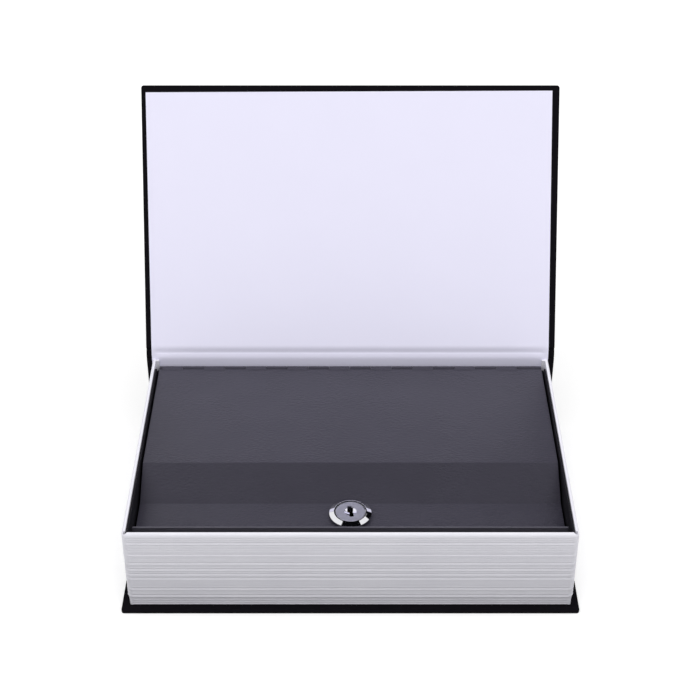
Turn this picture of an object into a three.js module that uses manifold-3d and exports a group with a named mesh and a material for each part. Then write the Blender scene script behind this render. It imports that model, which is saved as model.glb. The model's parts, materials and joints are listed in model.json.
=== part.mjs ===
// A book diversion safe: a book-shaped case with a locked steel tray inside, its front cover standing open.
// Millimetres. X runs along the spine, +Y points at the spine and +Z up.
// The origin is on the underside of the back cover, in the middle of the book.

import * as THREE from "three";
import { mergeVertices } from "three/addons/utils/BufferGeometryUtils.js";
import Module from "manifold-3d";

const wasm = await Module();
wasm.setup();

// The book
const BOOK_WIDTH = 240;
const BOOK_DEPTH = 160;
const COVER_OPENING = 116.6; // degrees from closed to where the front cover stands

// The layers of a cover
const CLOTH = 0.3;
const BOARD = 1.4;
const PAPER = 0.2;
const GLUE_FILM = 0.1;
const CLOTH_TURN_IN = 15;
const BOARD_CORNER = 1.6;
const LINING_MARGIN_LEFT = 2;
const LINING_MARGIN_RIGHT = 3;
const LINING_MARGIN_FORE = 2.4;

// The cloth joint between spine and front cover
const JOINT_GROOVE = 5; // from the hinge line to the edge of the board
const JOINT_SET_IN = 2; // from the back of the spine to the hinge line
const JOINT_SEAM = 0.75; // from the hinge line to the cloth that swings
const BACK_GROOVE = 2.5; // from the inside of the spine to the back board
const CLOSED_GAP = 0.45; // between the closed front cover and the frame
const FRONT_COVER_SHORT = 0.8; // how far the closed front cover stops behind the back cover's edge

// The plastic frame that looks like the pages
const FRAME_HEIGHT = 49.5;
const FRAME_SETBACK = 3.5;
const FRAME_WALL = 2;
const FRAME_CORNER = 3;
const FRAME_TOP_ROUND = 0.9;
const FRAME_RETURN = 2;
const FRAME_RETURN_WALL = 1.3;
const FRAME_FOOT_HEIGHT = 6;
const FRAME_FOOT_INSET = 0.8;
const FRAME_BEAD = 1;
const RELIEF_RADIUS = 1;
const PAGE_RIDGE = 0.25; // how far a page ridge stands out
const PAGE_RIDGE_HEIGHT = 0.7;
const PAGE_GAPS = [5.0, 7.1, 2.9, 3.4, 4.2, 5.9, 7.8]; // from ridge to ridge, from the lowest up

// The steel tray
const SHEET = 1;
const TRAY_GAP = 0.3; // between tray and frame
const TRAY_CORNER = 0.5; // radius inside its corners
const TRAY_BELOW_FRAME = 1;

// The steel lid
const LID_SIDE_GAP = 1;
const LID_BELOW_FRAME = 3;
const LID_LAND_DROP = 10.5; // from the lid's flat down to the land that holds the lock
const LID_LAND_DEPTH = 29.4;
const LID_SLOPE_RUN = 21.6;
const LID_LIP_HEIGHT = 9;
const FINGER_GAP = 7.2;
const SHEET_BEND = 1.5; // radius of a bend along the middle of the sheet
const BEND_STEPS = 4;
const REST_GAP = 0.3;

// The hinge of the lid
const PIN_RADIUS = 0.75;
const PIN_GAP = 0.2;
const KNUCKLE_WALL = 0.95;
const KNUCKLE_PITCH = 24.5;
const KNUCKLE_LENGTH = 12.25; // of a knuckle on the tray
const KNUCKLE_SHIFT = 5.85; // of the middle tray knuckle from the book's middle
const KNUCKLE_SIDE_GAP = 0.25;
const KNUCKLE_SLOT = 1; // clear space in front of a tray knuckle
const KNUCKLE_LEAST = 1; // a shorter one is left out
const KNUCKLE_END = 6; // an end shorter than this is part of the tray's last knuckle

// The rail on the tray's front wall, which the lid rests on and the cam hooks under
const RAIL_SUPPORT = 3.5; // how far it reaches under the land, past the lip
const RAIL_FIT = 0.1; // between the rail's web and the wall it is welded to
const RAIL_END_GAP = 0.3;
const CAM_TO_RAIL = 0.5;

// The cam lock
const PLUG_RADIUS = 5.9;
const PLUG_GAP = 0.2;
const BARREL_WALL = 2; // from the plug to the outside of the thread
const BARREL_FLAT_CUT = 0.7;
const BARREL_TAIL = 5.6; // below the last wafer
const BARREL_HOLE_GAP = 0.2;
const LOCK_TO_SLOPE = 0.5; // from the lock to the lid's slope
const SEAT_LEDGE = 1.4;
const SEAT_HEIGHT = 1.2;
const HEAD_OVERHANG = 1.9;
const HEAD_EDGE = 0.7;
const HEAD_HEIGHT = 3.1;
const HEAD_BEVEL = 2.5;
const HEAD_RIM_WIDTH = 0.75;
const PLUG_FACE_GAP = 0.2;
const PLUG_FACE_THICK = 1;
const PLUG_FACE_SUNK = 0.2;
const DISH_RADIUS = 3.25;
const DISH_DEPTH = 0.8;
const KEYWAY_HEIGHT = 8.4;
const KEYWAY_WIDTH = 2.1;
const KEYWAY_STEP = 1.2; // how far its two halves are set apart
const KEYWAY_WAIST = 1; // height of the bend between them
const KEYWAY_END = 0.3; // below the last wafer
const NUT_WALL = 2.1;
const NUT_THICK = 2.5;
const WASHER_LEDGE = 2.7;
const WASHER_THICK = 0.6;
const LOCK_FILM = 0.1; // between lock parts that are clamped together

// The cam and its screw
const CAM_HOOK = 6.9; // how far its tip goes under the rail
const CAM_WIDTH = 12;
const CAM_TIP_RADIUS = 3;
const CAM_THICK = 1.5;
const TENON = 6;
const SCREW_RADIUS = 1.5;
const SCREW_DEPTH = 5;
const SCREW_HEAD_RADIUS = 3.2;
const SCREW_HEAD_THICK = 1.9;
const SCREW_CROWN_RADIUS = 2.6;
const SCREW_CROWN_HEIGHT = 0.95;
const SCREW_SLOT = 0.8;
const SCREW_SLOT_REACH = 2.1;
const SCREW_SLOT_DEPTH = 0.95;
const STAR_WASHER_RADIUS = 4.2;
const STAR_WASHER_THICK = 0.6;

// The wafers in the plug
const WAFERS = 4;
const WAFER_PITCH = 2.5;
const WAFER_TOP = 1.6; // from the land's top face down to the first wafer
const WAFER_THICK = 0.9;
const WAFER_WIDTH = 7;
const WAFER_TRAVEL = 0.8;
const WAFER_GAP = 0.1;
const WAFER_WINDOW = 7.4;
const WAFER_WINDOW_WIDTH = 4.4;
const LUG_OUT = 1.2;
const LUG_HEIGHT = 1;
const SPRING_RADIUS = 0.4;
const SPRING_LENGTH = 2.4;

// The rivets that fix the tray to the back board
const RIVET_RADIUS = 1.6;
const RIVET_HOLE_GAP = 0.1;
const RIVET_HEAD_RADIUS = 3.2;
const RIVET_HEAD_HEIGHT = 1;
const RIVET_CROWN_RADIUS = 2.6;
const RIVET_CROWN_HEIGHT = 0.3;
const RIVET_INSET_X = 24;
const RIVET_INSET_FRONT = 30;
const RIVET_INSET_REAR = 24;

// Facets on round shapes
const ROUND = 32;
const SMALL_ROUND = 16;
const CORNER_STEPS = 4;
const TOP_ROUND_STEPS = 3;
const PAST = 5; // how far a cutting shape runs past what it cuts
const SAME_PLACE = 1e-4; // corners of a mesh nearer than this are one

// Depths of a cover's layers, from its outer face
const BOARD_OUTER = CLOTH + GLUE_FILM;
const BOARD_INNER = BOARD_OUTER + BOARD;
const TURN_IN_OUTER = BOARD_INNER + GLUE_FILM;
const TURN_IN_INNER = TURN_IN_OUTER + CLOTH;
const LINING_OUTER = TURN_IN_INNER + GLUE_FILM;
const COVER = LINING_OUTER + PAPER;

// The places of things across the book
const HALF_WIDTH = BOOK_WIDTH / 2;
const FORE_EDGE = -BOOK_DEPTH / 2;
const SPINE_BACK = BOOK_DEPTH / 2;
const SPINE_FACE = SPINE_BACK - COVER;
const FRAME_SIDE = HALF_WIDTH - FRAME_SETBACK;
const FRAME_FRONT = FORE_EDGE + FRAME_SETBACK;
const TRAY_SIDE = FRAME_SIDE - FRAME_WALL - TRAY_GAP;
const TRAY_FRONT = FRAME_FRONT + FRAME_WALL + TRAY_GAP;
const TRAY_REAR = SPINE_FACE - FRAME_RETURN_WALL - TRAY_GAP;
const LID_SIDE = TRAY_SIDE - SHEET - LID_SIDE_GAP;

// Heights
const FRAME_TOP = COVER + FRAME_HEIGHT;
const TRAY_TOP = FRAME_TOP - TRAY_BELOW_FRAME;
const TRAY_FLOOR = COVER + SHEET;
const LID_TOP = FRAME_TOP - LID_BELOW_FRAME;
const LAND_TOP = LID_TOP - LID_LAND_DROP;
const LAND_UNDER = LAND_TOP - SHEET;

// The lid's section, front to back
const LIP_FRONT = TRAY_FRONT + SHEET + FINGER_GAP;
const LIP_BACK = LIP_FRONT + SHEET;
const SLOPE_FOOT = LIP_FRONT + LID_LAND_DEPTH;
const SLOPE_HEAD = SLOPE_FOOT + LID_SLOPE_RUN;

// The line that the lid turns on
const KNUCKLE_BORE = PIN_RADIUS + PIN_GAP;
const KNUCKLE_RADIUS = KNUCKLE_BORE + KNUCKLE_WALL;
const LID_AXIS_Y = TRAY_REAR - KNUCKLE_RADIUS;
const LID_AXIS_Z = LID_TOP - KNUCKLE_RADIUS;
const LID_AXIS = [LID_AXIS_Y, LID_AXIS_Z];

// The line that the front cover turns on
const COVER_AXIS_Y = SPINE_BACK - JOINT_SET_IN;
const COVER_AXIS_Z = FRAME_TOP + CLOSED_GAP + COVER / 2;
const SPINE_TOP = FRAME_TOP;
const BACK_BOARD_REAR = SPINE_FACE - BACK_GROOVE;

// The lock's widths, from the plug outwards
const BARREL_RADIUS = PLUG_RADIUS + BARREL_WALL;
const BARREL_FLAT = BARREL_RADIUS - BARREL_FLAT_CUT;
const SEAT_RADIUS = BARREL_RADIUS + SEAT_LEDGE;
const HEAD_RADIUS = SEAT_RADIUS + HEAD_OVERHANG;
const HEAD_RIM_RADIUS = HEAD_RADIUS - HEAD_BEVEL;
const FACE_RADIUS = HEAD_RIM_RADIUS - HEAD_RIM_WIDTH - PLUG_FACE_GAP;
const WASHER_RADIUS = BARREL_RADIUS + WASHER_LEDGE;
const NUT_HALF = BARREL_RADIUS + NUT_WALL;

// The lock's heights, with the land's top face at 0
const FACE_TOP = HEAD_HEIGHT - PLUG_FACE_SUNK;
const FACE_UNDER = FACE_TOP - PLUG_FACE_THICK;
const waferHeight = (i) => -WAFER_TOP - i * WAFER_PITCH;
const WAFERS_END = waferHeight(WAFERS - 1) - WAFER_THICK;
const BARREL_END = WAFERS_END - BARREL_TAIL;
const PLUG_END = BARREL_END - LOCK_FILM;
const CAM_TOP = PLUG_END - LOCK_FILM;
const CAM_UNDER = CAM_TOP - CAM_THICK;
const SCREW_TOP = CAM_UNDER + SCREW_DEPTH;

// The lock stands as near to the slope as its seat and its head allow
const SLOPE_UNDER_HEAD = (SEAT_HEIGHT * LID_SLOPE_RUN) / LID_LAND_DROP;
const LOCK_Y = SLOPE_FOOT - LOCK_TO_SLOPE - Math.max(SEAT_RADIUS, HEAD_RADIUS - SLOPE_UNDER_HEAD);

// The rail, and how far the cam reaches to it
const RAIL_TOP = LAND_UNDER - REST_GAP;
const RAIL_BOTTOM = LAND_TOP + CAM_TOP + CAM_TO_RAIL;
const RAIL_REACH = LIP_BACK + RAIL_SUPPORT;
const CAM_REACH = LOCK_Y - RAIL_REACH + CAM_HOOK;

// A closed geometry as a solid that can be joined and cut.
function solid(geometry) {
  const loose = geometry.index ? geometry.toNonIndexed() : geometry;
  const bare = new THREE.BufferGeometry();
  bare.setAttribute("position", loose.getAttribute("position"));
  const merged = mergeVertices(bare, SAME_PLACE);
  const mesh = new wasm.Mesh({
    numProp: 3,
    vertProperties: merged.getAttribute("position").array,
    triVerts: new Uint32Array(merged.index.array),
  });
  return new wasm.Manifold(mesh);
}

function block([x0, x1], [y0, y1], [z0, z1]) {
  const geometry = new THREE.BoxGeometry(x1 - x0, y1 - y0, z1 - z0);
  return solid(geometry.translate((x0 + x1) / 2, (y0 + y1) / 2, (z0 + z1) / 2));
}

const across = (half) => [-half, half];
const between = (a, b) => [Math.min(a, b), Math.max(a, b)];

// An outline in plan, drawn up from low to high.
function upright(points, [low, high]) {
  const shape = new THREE.Shape(points);
  const geometry = new THREE.ExtrudeGeometry(shape, { depth: high - low, bevelEnabled: false });
  return solid(geometry.translate(0, 0, low));
}

// A section seen from the side, with its points as (y, z), drawn out along X.
function sideways(points, [left, right]) {
  const shape = new THREE.Shape(points);
  const geometry = new THREE.ExtrudeGeometry(shape, { depth: right - left, bevelEnabled: false });
  const turn = new THREE.Matrix4().makeBasis(
    new THREE.Vector3(0, 1, 0),
    new THREE.Vector3(0, 0, 1),
    new THREE.Vector3(1, 0, 0),
  );
  return solid(geometry.applyMatrix4(turn).translate(left, 0, 0));
}

function rodZ(radius, [low, high], sides = ROUND) {
  const geometry = new THREE.CylinderGeometry(radius, radius, high - low, sides);
  return solid(geometry.rotateX(Math.PI / 2).translate(0, 0, (low + high) / 2));
}

function rodX(radius, [left, right], [y, z], sides = SMALL_ROUND) {
  const geometry = new THREE.CylinderGeometry(radius, radius, right - left, sides);
  return solid(geometry.rotateZ(Math.PI / 2).translate((left + right) / 2, y, z));
}

// A turned shape: the profile's (radius, height) points run up from the axis and back to it.
function turned(profile, sides = ROUND) {
  const points = profile.map(([radius, height]) => new THREE.Vector2(radius, height));
  return solid(new THREE.LatheGeometry(points, sides).rotateX(Math.PI / 2));
}

function arc([x, y], radius, from, to, steps = CORNER_STEPS) {
  const points = [];
  for (let i = 0; i <= steps; i++) {
    const angle = THREE.MathUtils.degToRad(from + ((to - from) * i) / steps);
    points.push(new THREE.Vector2(x + radius * Math.cos(angle), y + radius * Math.sin(angle)));
  }
  return points;
}

// A rectangle in plan, with one radius on its front corners and another on its rear ones.
function roundedPlan(half, [front, rear], frontRound, rearRound = 0) {
  const corner = (x, y, radius, from) => {
    if (radius <= 0) return [new THREE.Vector2(x, y)];
    const inward = y === front ? radius : -radius;
    return arc([x - Math.sign(x) * radius, y + inward], radius, from, from + 90);
  };
  return [
    ...corner(-half, front, frontRound, 180),
    ...corner(half, front, frontRound, 270),
    ...corner(half, rear, rearRound, 0),
    ...corner(-half, rear, rearRound, 90),
  ];
}

// The outline of a sheet that follows a line of (y, z) corners, with every bend rounded.
function bentSheet(corners, thickness, radius = SHEET_BEND) {
  const line = corners.map(([y, z]) => new THREE.Vector2(y, z));
  const heading = (i) => Math.atan2(line[i + 1].y - line[i].y, line[i + 1].x - line[i].x);
  const beside = (angle) => new THREE.Vector2(-Math.sin(angle), Math.cos(angle));
  const middle = [{ point: line[0], side: beside(heading(0)) }];
  for (let i = 1; i < line.length - 1; i++) {
    const before = heading(i - 1);
    const change = heading(i) - before;
    const turn = Math.atan2(Math.sin(change), Math.cos(change));
    const bend = Math.sign(turn) * radius;
    const setBack = radius * Math.tan(Math.abs(turn) / 2);
    const along = new THREE.Vector2(Math.cos(before), Math.sin(before));
    const start = line[i].clone().addScaledVector(along, -setBack);
    const centre = start.addScaledVector(beside(before), bend);
    for (let k = 0; k <= BEND_STEPS; k++) {
      const side = beside(before + (turn * k) / BEND_STEPS);
      middle.push({ point: centre.clone().addScaledVector(side, -bend), side });
    }
  }
  middle.push({ point: line.at(-1), side: beside(heading(line.length - 2)) });
  const edge = (offset) => middle.map(({ point, side }) => point.clone().addScaledVector(side, offset));
  return [...edge(-thickness / 2), ...edge(thickness / 2).reverse()];
}

const joined = (solids) => solids.reduce((whole, next) => whole.add(next));
const cutBy = (body, tools) => tools.reduce((left, tool) => left.subtract(tool), body);

function piece(name, body, color, roughness, metalness = 0) {
  const found = body.getMesh();
  const geometry = new THREE.BufferGeometry();
  geometry.setAttribute("position", new THREE.BufferAttribute(new Float32Array(found.vertProperties), 3));
  geometry.setIndex(new THREE.BufferAttribute(new Uint32Array(found.triVerts), 1));
  geometry.computeVertexNormals();
  const material = new THREE.MeshStandardMaterial({ color, roughness, metalness, flatShading: true });
  const mesh = new THREE.Mesh(geometry, material);
  mesh.name = name;
  return mesh;
}

// The finishes
const clothPiece = (name, body) => piece(name, body, 0x111013, 0.7);
const boardPiece = (name, body) => piece(name, body, 0x9a9184, 0.9);
const paperPiece = (name, body) => piece(name, body, 0xe9e6f5, 0.75);
const paintedPiece = (name, body) => piece(name, body, 0x504e5a, 0.55);
const blackenedPiece = (name, body) => piece(name, body, 0x222126, 0.5);
const chromePiece = (name, body) => piece(name, body, 0xd4d4d8, 0.12, 1);
const satinPiece = (name, body) => piece(name, body, 0xa3a3ad, 0.4, 1);
const zincPiece = (name, body) => piece(name, body, 0x9c9da1, 0.45, 1);
const brassPiece = (name, body) => piece(name, body, 0xb8954e, 0.4, 1);

// The cloth round one board: its outer face, its edges, and the turn-ins folded over the inside.
// level turns a depth from the outer face into a height.
function wrappedCloth(foreEdge, jointEdge, level) {
  const heights = (a, b) => between(level(a), level(b));
  const outline = roundedPlan(HALF_WIDTH, [foreEdge, jointEdge], BOARD_CORNER);
  const wrap = upright(outline, heights(0, TURN_IN_INNER));
  const pocketEnds = [foreEdge + CLOTH, jointEdge + PAST];
  const pocketPlan = roundedPlan(HALF_WIDTH - CLOTH, pocketEnds, BOARD_CORNER - CLOTH);
  const pocket = upright(pocketPlan, heights(CLOTH, TURN_IN_OUTER));
  const window = block(
    across(HALF_WIDTH - CLOTH_TURN_IN),
    [foreEdge + CLOTH_TURN_IN, jointEdge + PAST],
    heights(TURN_IN_OUTER - GLUE_FILM, COVER),
  );
  return cutBy(wrap, [pocket, window]);
}

function boardPlan(foreEdge, jointEdge) {
  const cloth = CLOTH + GLUE_FILM;
  return roundedPlan(HALF_WIDTH - cloth, [foreEdge + cloth, jointEdge], BOARD_CORNER - cloth);
}

const rivetPlaces = [
  [-TRAY_SIDE + RIVET_INSET_X, TRAY_FRONT + RIVET_INSET_FRONT],
  [TRAY_SIDE - RIVET_INSET_X, TRAY_FRONT + RIVET_INSET_FRONT],
  [-TRAY_SIDE + RIVET_INSET_X, TRAY_REAR - RIVET_INSET_REAR],
  [TRAY_SIDE - RIVET_INSET_X, TRAY_REAR - RIVET_INSET_REAR],
];

const rivetHoles = () =>
  rivetPlaces.map(([x, y]) =>
    rodZ(RIVET_RADIUS + RIVET_HOLE_GAP, [CLOTH, TRAY_FLOOR + PAST], SMALL_ROUND).translate([x, y, 0]),
  );

// The cloth folded round one end of the spine.
function spineEndCloth(side) {
  const outer = side * HALF_WIDTH;
  const heights = [COVER, SPINE_TOP];
  const depths = [SPINE_BACK - TURN_IN_INNER, SPINE_BACK];
  const wrap = block(between(outer, outer - side * CLOTH), depths, heights);
  const foldDepths = [SPINE_BACK - TURN_IN_INNER, SPINE_BACK - TURN_IN_OUTER];
  const fold = block(between(outer, outer - side * CLOTH_TURN_IN), foldDepths, heights);
  return wrap.add(fold);
}

// The cloth of the back cover and the spine, up to the line that the front cover turns on.
function caseCloth() {
  const whole = across(HALF_WIDTH);
  const middle = across(CLOTH / 2);
  const strip = block(whole, middle, [SPINE_TOP - COVER_AXIS_Z, CLOTH / 2]);
  return joined([
    wrappedCloth(FORE_EDGE, BACK_BOARD_REAR, (depth) => depth),
    block(whole, [BACK_BOARD_REAR - CLOTH, SPINE_BACK], [0, CLOTH]),
    block(whole, [SPINE_BACK - CLOTH, SPINE_BACK], [0, SPINE_TOP + CLOTH]),
    block(whole, [COVER_AXIS_Y - CLOTH / 2, SPINE_BACK], [SPINE_TOP, SPINE_TOP + CLOTH]),
    strip.translate([0, COVER_AXIS_Y, COVER_AXIS_Z]),
    spineEndCloth(-1),
    spineEndCloth(1),
  ]);
}

function backBoard() {
  const board = upright(boardPlan(FORE_EDGE, BACK_BOARD_REAR), [BOARD_OUTER, BOARD_INNER]);
  return cutBy(board, rivetHoles());
}

function spineBoard() {
  const half = HALF_WIDTH - CLOTH - GLUE_FILM;
  const depths = [SPINE_BACK - BOARD_INNER, SPINE_BACK - BOARD_OUTER];
  return block(across(half), depths, [COVER, SPINE_TOP - GLUE_FILM]);
}

function backLining() {
  const inset = CLOTH_TURN_IN + GLUE_FILM;
  const depths = [FORE_EDGE + inset, BACK_BOARD_REAR];
  const sheet = block(across(HALF_WIDTH - inset), depths, [BOARD_INNER, COVER]);
  return cutBy(sheet, rivetHoles());
}

const liningSides = [-HALF_WIDTH + LINING_MARGIN_LEFT, HALF_WIDTH - LINING_MARGIN_RIGHT];

function spineLining() {
  return block(liningSides, [SPINE_FACE, SPINE_FACE + PAPER], [COVER, SPINE_TOP]);
}

// The page frame: slabs of slightly different outline, hollowed out and open towards the spine.
function frameSlab(inset, heights) {
  const plan = roundedPlan(FRAME_SIDE - inset, [FRAME_FRONT + inset, SPINE_FACE], FRAME_CORNER - inset);
  return upright(plan, heights);
}

// Its uppermost band, with the outer edge rounded over.
function frameTop() {
  const round = FRAME_TOP_ROUND;
  const ends = [FRAME_FRONT + round, SPINE_FACE + PAST];
  const plan = roundedPlan(FRAME_SIDE - round, ends, FRAME_CORNER - round);
  const geometry = new THREE.ExtrudeGeometry(new THREE.Shape(plan), {
    depth: PAST,
    bevelThickness: round,
    bevelSize: round,
    bevelSegments: TOP_ROUND_STEPS,
  });
  const rounded = solid(geometry.translate(0, 0, FRAME_TOP - round - PAST));
  return rounded.intersect(frameSlab(0, [FRAME_TOP - PAST, FRAME_TOP]));
}

const FOOT_TOP = COVER + FRAME_FOOT_HEIGHT;
const FLAT_TOP = FRAME_TOP - FRAME_TOP_ROUND;

// The ridges that stand for gathered pages, as many as fit between the foot and the rounded edge.
function pageRidges() {
  const ridges = [];
  let z = FOOT_TOP;
  for (let i = 0; z + PAGE_RIDGE_HEIGHT < FLAT_TOP - PAGE_RIDGE_HEIGHT; i++) {
    ridges.push(frameSlab(-PAGE_RIDGE, [z, z + PAGE_RIDGE_HEIGHT]));
    z += PAGE_GAPS[i % PAGE_GAPS.length];
  }
  return ridges;
}

function pageFrame() {
  const outside = joined([
    frameSlab(0, [COVER, COVER + FRAME_BEAD]),
    frameSlab(FRAME_FOOT_INSET, [COVER, FOOT_TOP]),
    frameSlab(0, [FOOT_TOP, FLAT_TOP - FRAME_TOP_ROUND]),
    frameTop(),
    ...pageRidges(),
  ]);
  const inner = FRAME_SIDE - FRAME_WALL;
  const front = FRAME_FRONT + FRAME_WALL;
  const throughout = [COVER - PAST, FRAME_TOP + PAST];
  const hollow = block(across(inner), [front, SPINE_FACE - FRAME_RETURN_WALL], throughout);
  const mouth = block(across(inner - FRAME_RETURN), [front, SPINE_FACE + PAST], throughout);
  const relief = rodZ(RELIEF_RADIUS, throughout, SMALL_ROUND);
  const reliefs = [-inner, inner].map((x) => relief.translate([x, front, 0]));
  return cutBy(outside, [hollow, mouth, ...reliefs]);
}

// Where along X the tray's knuckles lie.
function trayKnuckles() {
  const spans = [];
  const count = Math.ceil(LID_SIDE / KNUCKLE_PITCH);
  for (let k = -count; k <= count; k++) {
    const middle = KNUCKLE_SHIFT + k * KNUCKLE_PITCH;
    let left = Math.max(middle - KNUCKLE_LENGTH / 2, -LID_SIDE);
    let right = Math.min(middle + KNUCKLE_LENGTH / 2, LID_SIDE);
    if (left + LID_SIDE < KNUCKLE_END) left = -LID_SIDE;
    if (LID_SIDE - right < KNUCKLE_END) right = LID_SIDE;
    if (right - left > KNUCKLE_LEAST) spans.push([left, right]);
  }
  return spans;
}

function lidKnuckles() {
  const taken = trayKnuckles();
  const spans = [];
  for (let i = 0; i + 1 < taken.length; i++) {
    spans.push([taken[i][1] + KNUCKLE_SIDE_GAP, taken[i + 1][0] - KNUCKLE_SIDE_GAP]);
  }
  return spans;
}

function trayPlan(inset, corner) {
  const ends = [TRAY_FRONT + inset, TRAY_REAR - inset];
  return roundedPlan(TRAY_SIDE - inset, ends, corner, corner);
}

function steelTray() {
  const outside = upright(trayPlan(0, TRAY_CORNER + SHEET), [COVER, TRAY_TOP]);
  const inside = upright(trayPlan(SHEET, TRAY_CORNER), [TRAY_FLOOR, TRAY_TOP + PAST]);
  const rearNotch = block(
    across(LID_SIDE + LID_SIDE_GAP / 2),
    [TRAY_REAR - SHEET - PAST, TRAY_REAR + PAST],
    [LID_AXIS_Z - KNUCKLE_RADIUS - KNUCKLE_SIDE_GAP, TRAY_TOP + PAST],
  );
  const knuckles = trayKnuckles().map((span) => {
    const leaf = [LID_AXIS_Z - KNUCKLE_RADIUS - SHEET, LID_AXIS_Z];
    return rodX(KNUCKLE_RADIUS, span, LID_AXIS).add(block(span, [TRAY_REAR - SHEET, TRAY_REAR], leaf));
  });
  const bore = rodX(KNUCKLE_BORE, across(HALF_WIDTH), LID_AXIS);
  const walls = joined([cutBy(outside, [inside, rearNotch]), ...knuckles]);
  return cutBy(walls, [bore, ...rivetHoles()]);
}

const hingePin = () => rodX(PIN_RADIUS, across(LID_SIDE), LID_AXIS);

function lockRail() {
  const web = TRAY_FRONT + SHEET + RAIL_FIT + SHEET / 2;
  const upper = RAIL_TOP - SHEET / 2;
  const lower = RAIL_BOTTOM + SHEET / 2;
  const section = bentSheet(
    [
      [RAIL_REACH, upper],
      [web, upper],
      [web, lower],
      [RAIL_REACH, lower],
    ],
    SHEET,
  );
  return sideways(section, across(TRAY_SIDE - SHEET - RAIL_END_GAP));
}

function trayRivet() {
  const top = TRAY_FLOOR + RIVET_HEAD_HEIGHT;
  return turned(
    [
      [0, BOARD_OUTER],
      [RIVET_RADIUS, BOARD_OUTER],
      [RIVET_RADIUS, TRAY_FLOOR],
      [RIVET_HEAD_RADIUS, TRAY_FLOOR],
      [RIVET_CROWN_RADIUS, top - RIVET_CROWN_HEIGHT],
      [0, top],
    ],
    SMALL_ROUND,
  );
}

// The hole that the lock's barrel goes through, with its two flats.
function barrelHole() {
  const round = rodZ(BARREL_RADIUS + BARREL_HOLE_GAP, across(HEAD_RADIUS));
  const flat = BARREL_FLAT + BARREL_HOLE_GAP;
  return round.intersect(block(across(flat), across(HEAD_RADIUS), across(HEAD_RADIUS)));
}

// The lid: one sheet bent down to the land and up again at the lip, with knuckles along its rear edge.
function safeLid() {
  const middle = SHEET / 2;
  const panelEnd = LID_AXIS_Y - KNUCKLE_RADIUS - KNUCKLE_SLOT;
  const section = bentSheet(
    [
      [panelEnd, LID_TOP - middle],
      [SLOPE_HEAD, LID_TOP - middle],
      [SLOPE_FOOT, LAND_TOP - middle],
      [LIP_FRONT + middle, LAND_TOP - middle],
      [LIP_FRONT + middle, LAND_TOP + LID_LIP_HEIGHT],
    ],
    SHEET,
  );
  const knuckles = lidKnuckles().map((span) => {
    const leaf = block(span, [panelEnd - middle, LID_AXIS_Y], [LID_TOP - SHEET, LID_TOP]);
    return leaf.add(rodX(KNUCKLE_RADIUS, span, LID_AXIS));
  });
  const sheet = joined([sideways(section, across(LID_SIDE)), ...knuckles]);
  const bore = rodX(KNUCKLE_BORE, across(HALF_WIDTH), LID_AXIS);
  return cutBy(sheet, [bore, barrelHole().translate([0, LOCK_Y, LAND_UNDER])]);
}

// The lock's body, drawn round its own axis with the land's top face at height 0.
function lockBody() {
  const outside = turned([
    [0, BARREL_END],
    [BARREL_RADIUS, BARREL_END],
    [BARREL_RADIUS, 0],
    [SEAT_RADIUS, 0],
    [SEAT_RADIUS, SEAT_HEIGHT],
    [HEAD_RADIUS, SEAT_HEIGHT],
    [HEAD_RADIUS, SEAT_HEIGHT + HEAD_EDGE],
    [HEAD_RIM_RADIUS, HEAD_HEIGHT],
    [0, HEAD_HEIGHT],
  ]);
  const flats = [-1, 1].map((side) => {
    const reach = between(side * BARREL_FLAT, side * (BARREL_RADIUS + PAST));
    return block(reach, across(HEAD_RADIUS), [BARREL_END - PAST, 0]);
  });
  const recess = rodZ(HEAD_RIM_RADIUS - HEAD_RIM_WIDTH, [FACE_UNDER - PLUG_GAP, HEAD_HEIGHT + PAST]);
  const bore = rodZ(PLUG_RADIUS + PLUG_GAP, [BARREL_END - PAST, HEAD_HEIGHT]);
  const groove = WAFER_WIDTH / 2 + 2 * WAFER_GAP;
  const reach = PLUG_RADIUS + WAFER_TRAVEL + 2 * WAFER_GAP;
  const grooveHeights = [WAFERS_END - WAFER_GAP, waferHeight(0) + WAFER_GAP];
  const grooves = [
    block(across(groove), across(reach), grooveHeights),
    block(across(reach), across(groove), grooveHeights),
  ];
  return cutBy(outside, [...flats, recess, bore, ...grooves]);
}

// The keyway in plan: two slots side by side, joined into one stepped slot.
function keywayPlan() {
  const half = KEYWAY_WIDTH / 2;
  const left = -KEYWAY_STEP / 2;
  const right = KEYWAY_STEP / 2;
  const tall = KEYWAY_HEIGHT / 2;
  const waist = KEYWAY_WAIST / 2;
  return [
    [right - half, -tall],
    [right + half, -tall],
    [right + half, -waist],
    [left + half, waist],
    [left + half, tall],
    [left - half, tall],
    [left - half, waist],
    [right - half, -waist],
  ].map(([x, y]) => new THREE.Vector2(x, y));
}

const lugSide = (i) => (i % 2 === 0 ? 1 : -1);
const LUG_REACH = WAFER_WIDTH / 2 + LUG_OUT;
const SPRING_REAR = -SPRING_LENGTH - WAFER_GAP;

// The slot in the plug that one wafer slides in, with the pocket for its lug and spring.
function waferSlot(i) {
  const heights = [waferHeight(i) - WAFER_THICK - WAFER_GAP, waferHeight(i) + WAFER_GAP];
  const slot = block(across(WAFER_WIDTH / 2 + WAFER_GAP), across(PLUG_RADIUS + PAST), heights);
  const side = lugSide(i);
  const pocketSides = between(0, side * (LUG_REACH + WAFER_GAP));
  const pocketEnds = [SPRING_REAR - WAFER_GAP, LUG_HEIGHT + WAFER_TRAVEL + WAFER_GAP];
  return slot.add(block(pocketSides, pocketEnds, heights));
}

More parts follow.
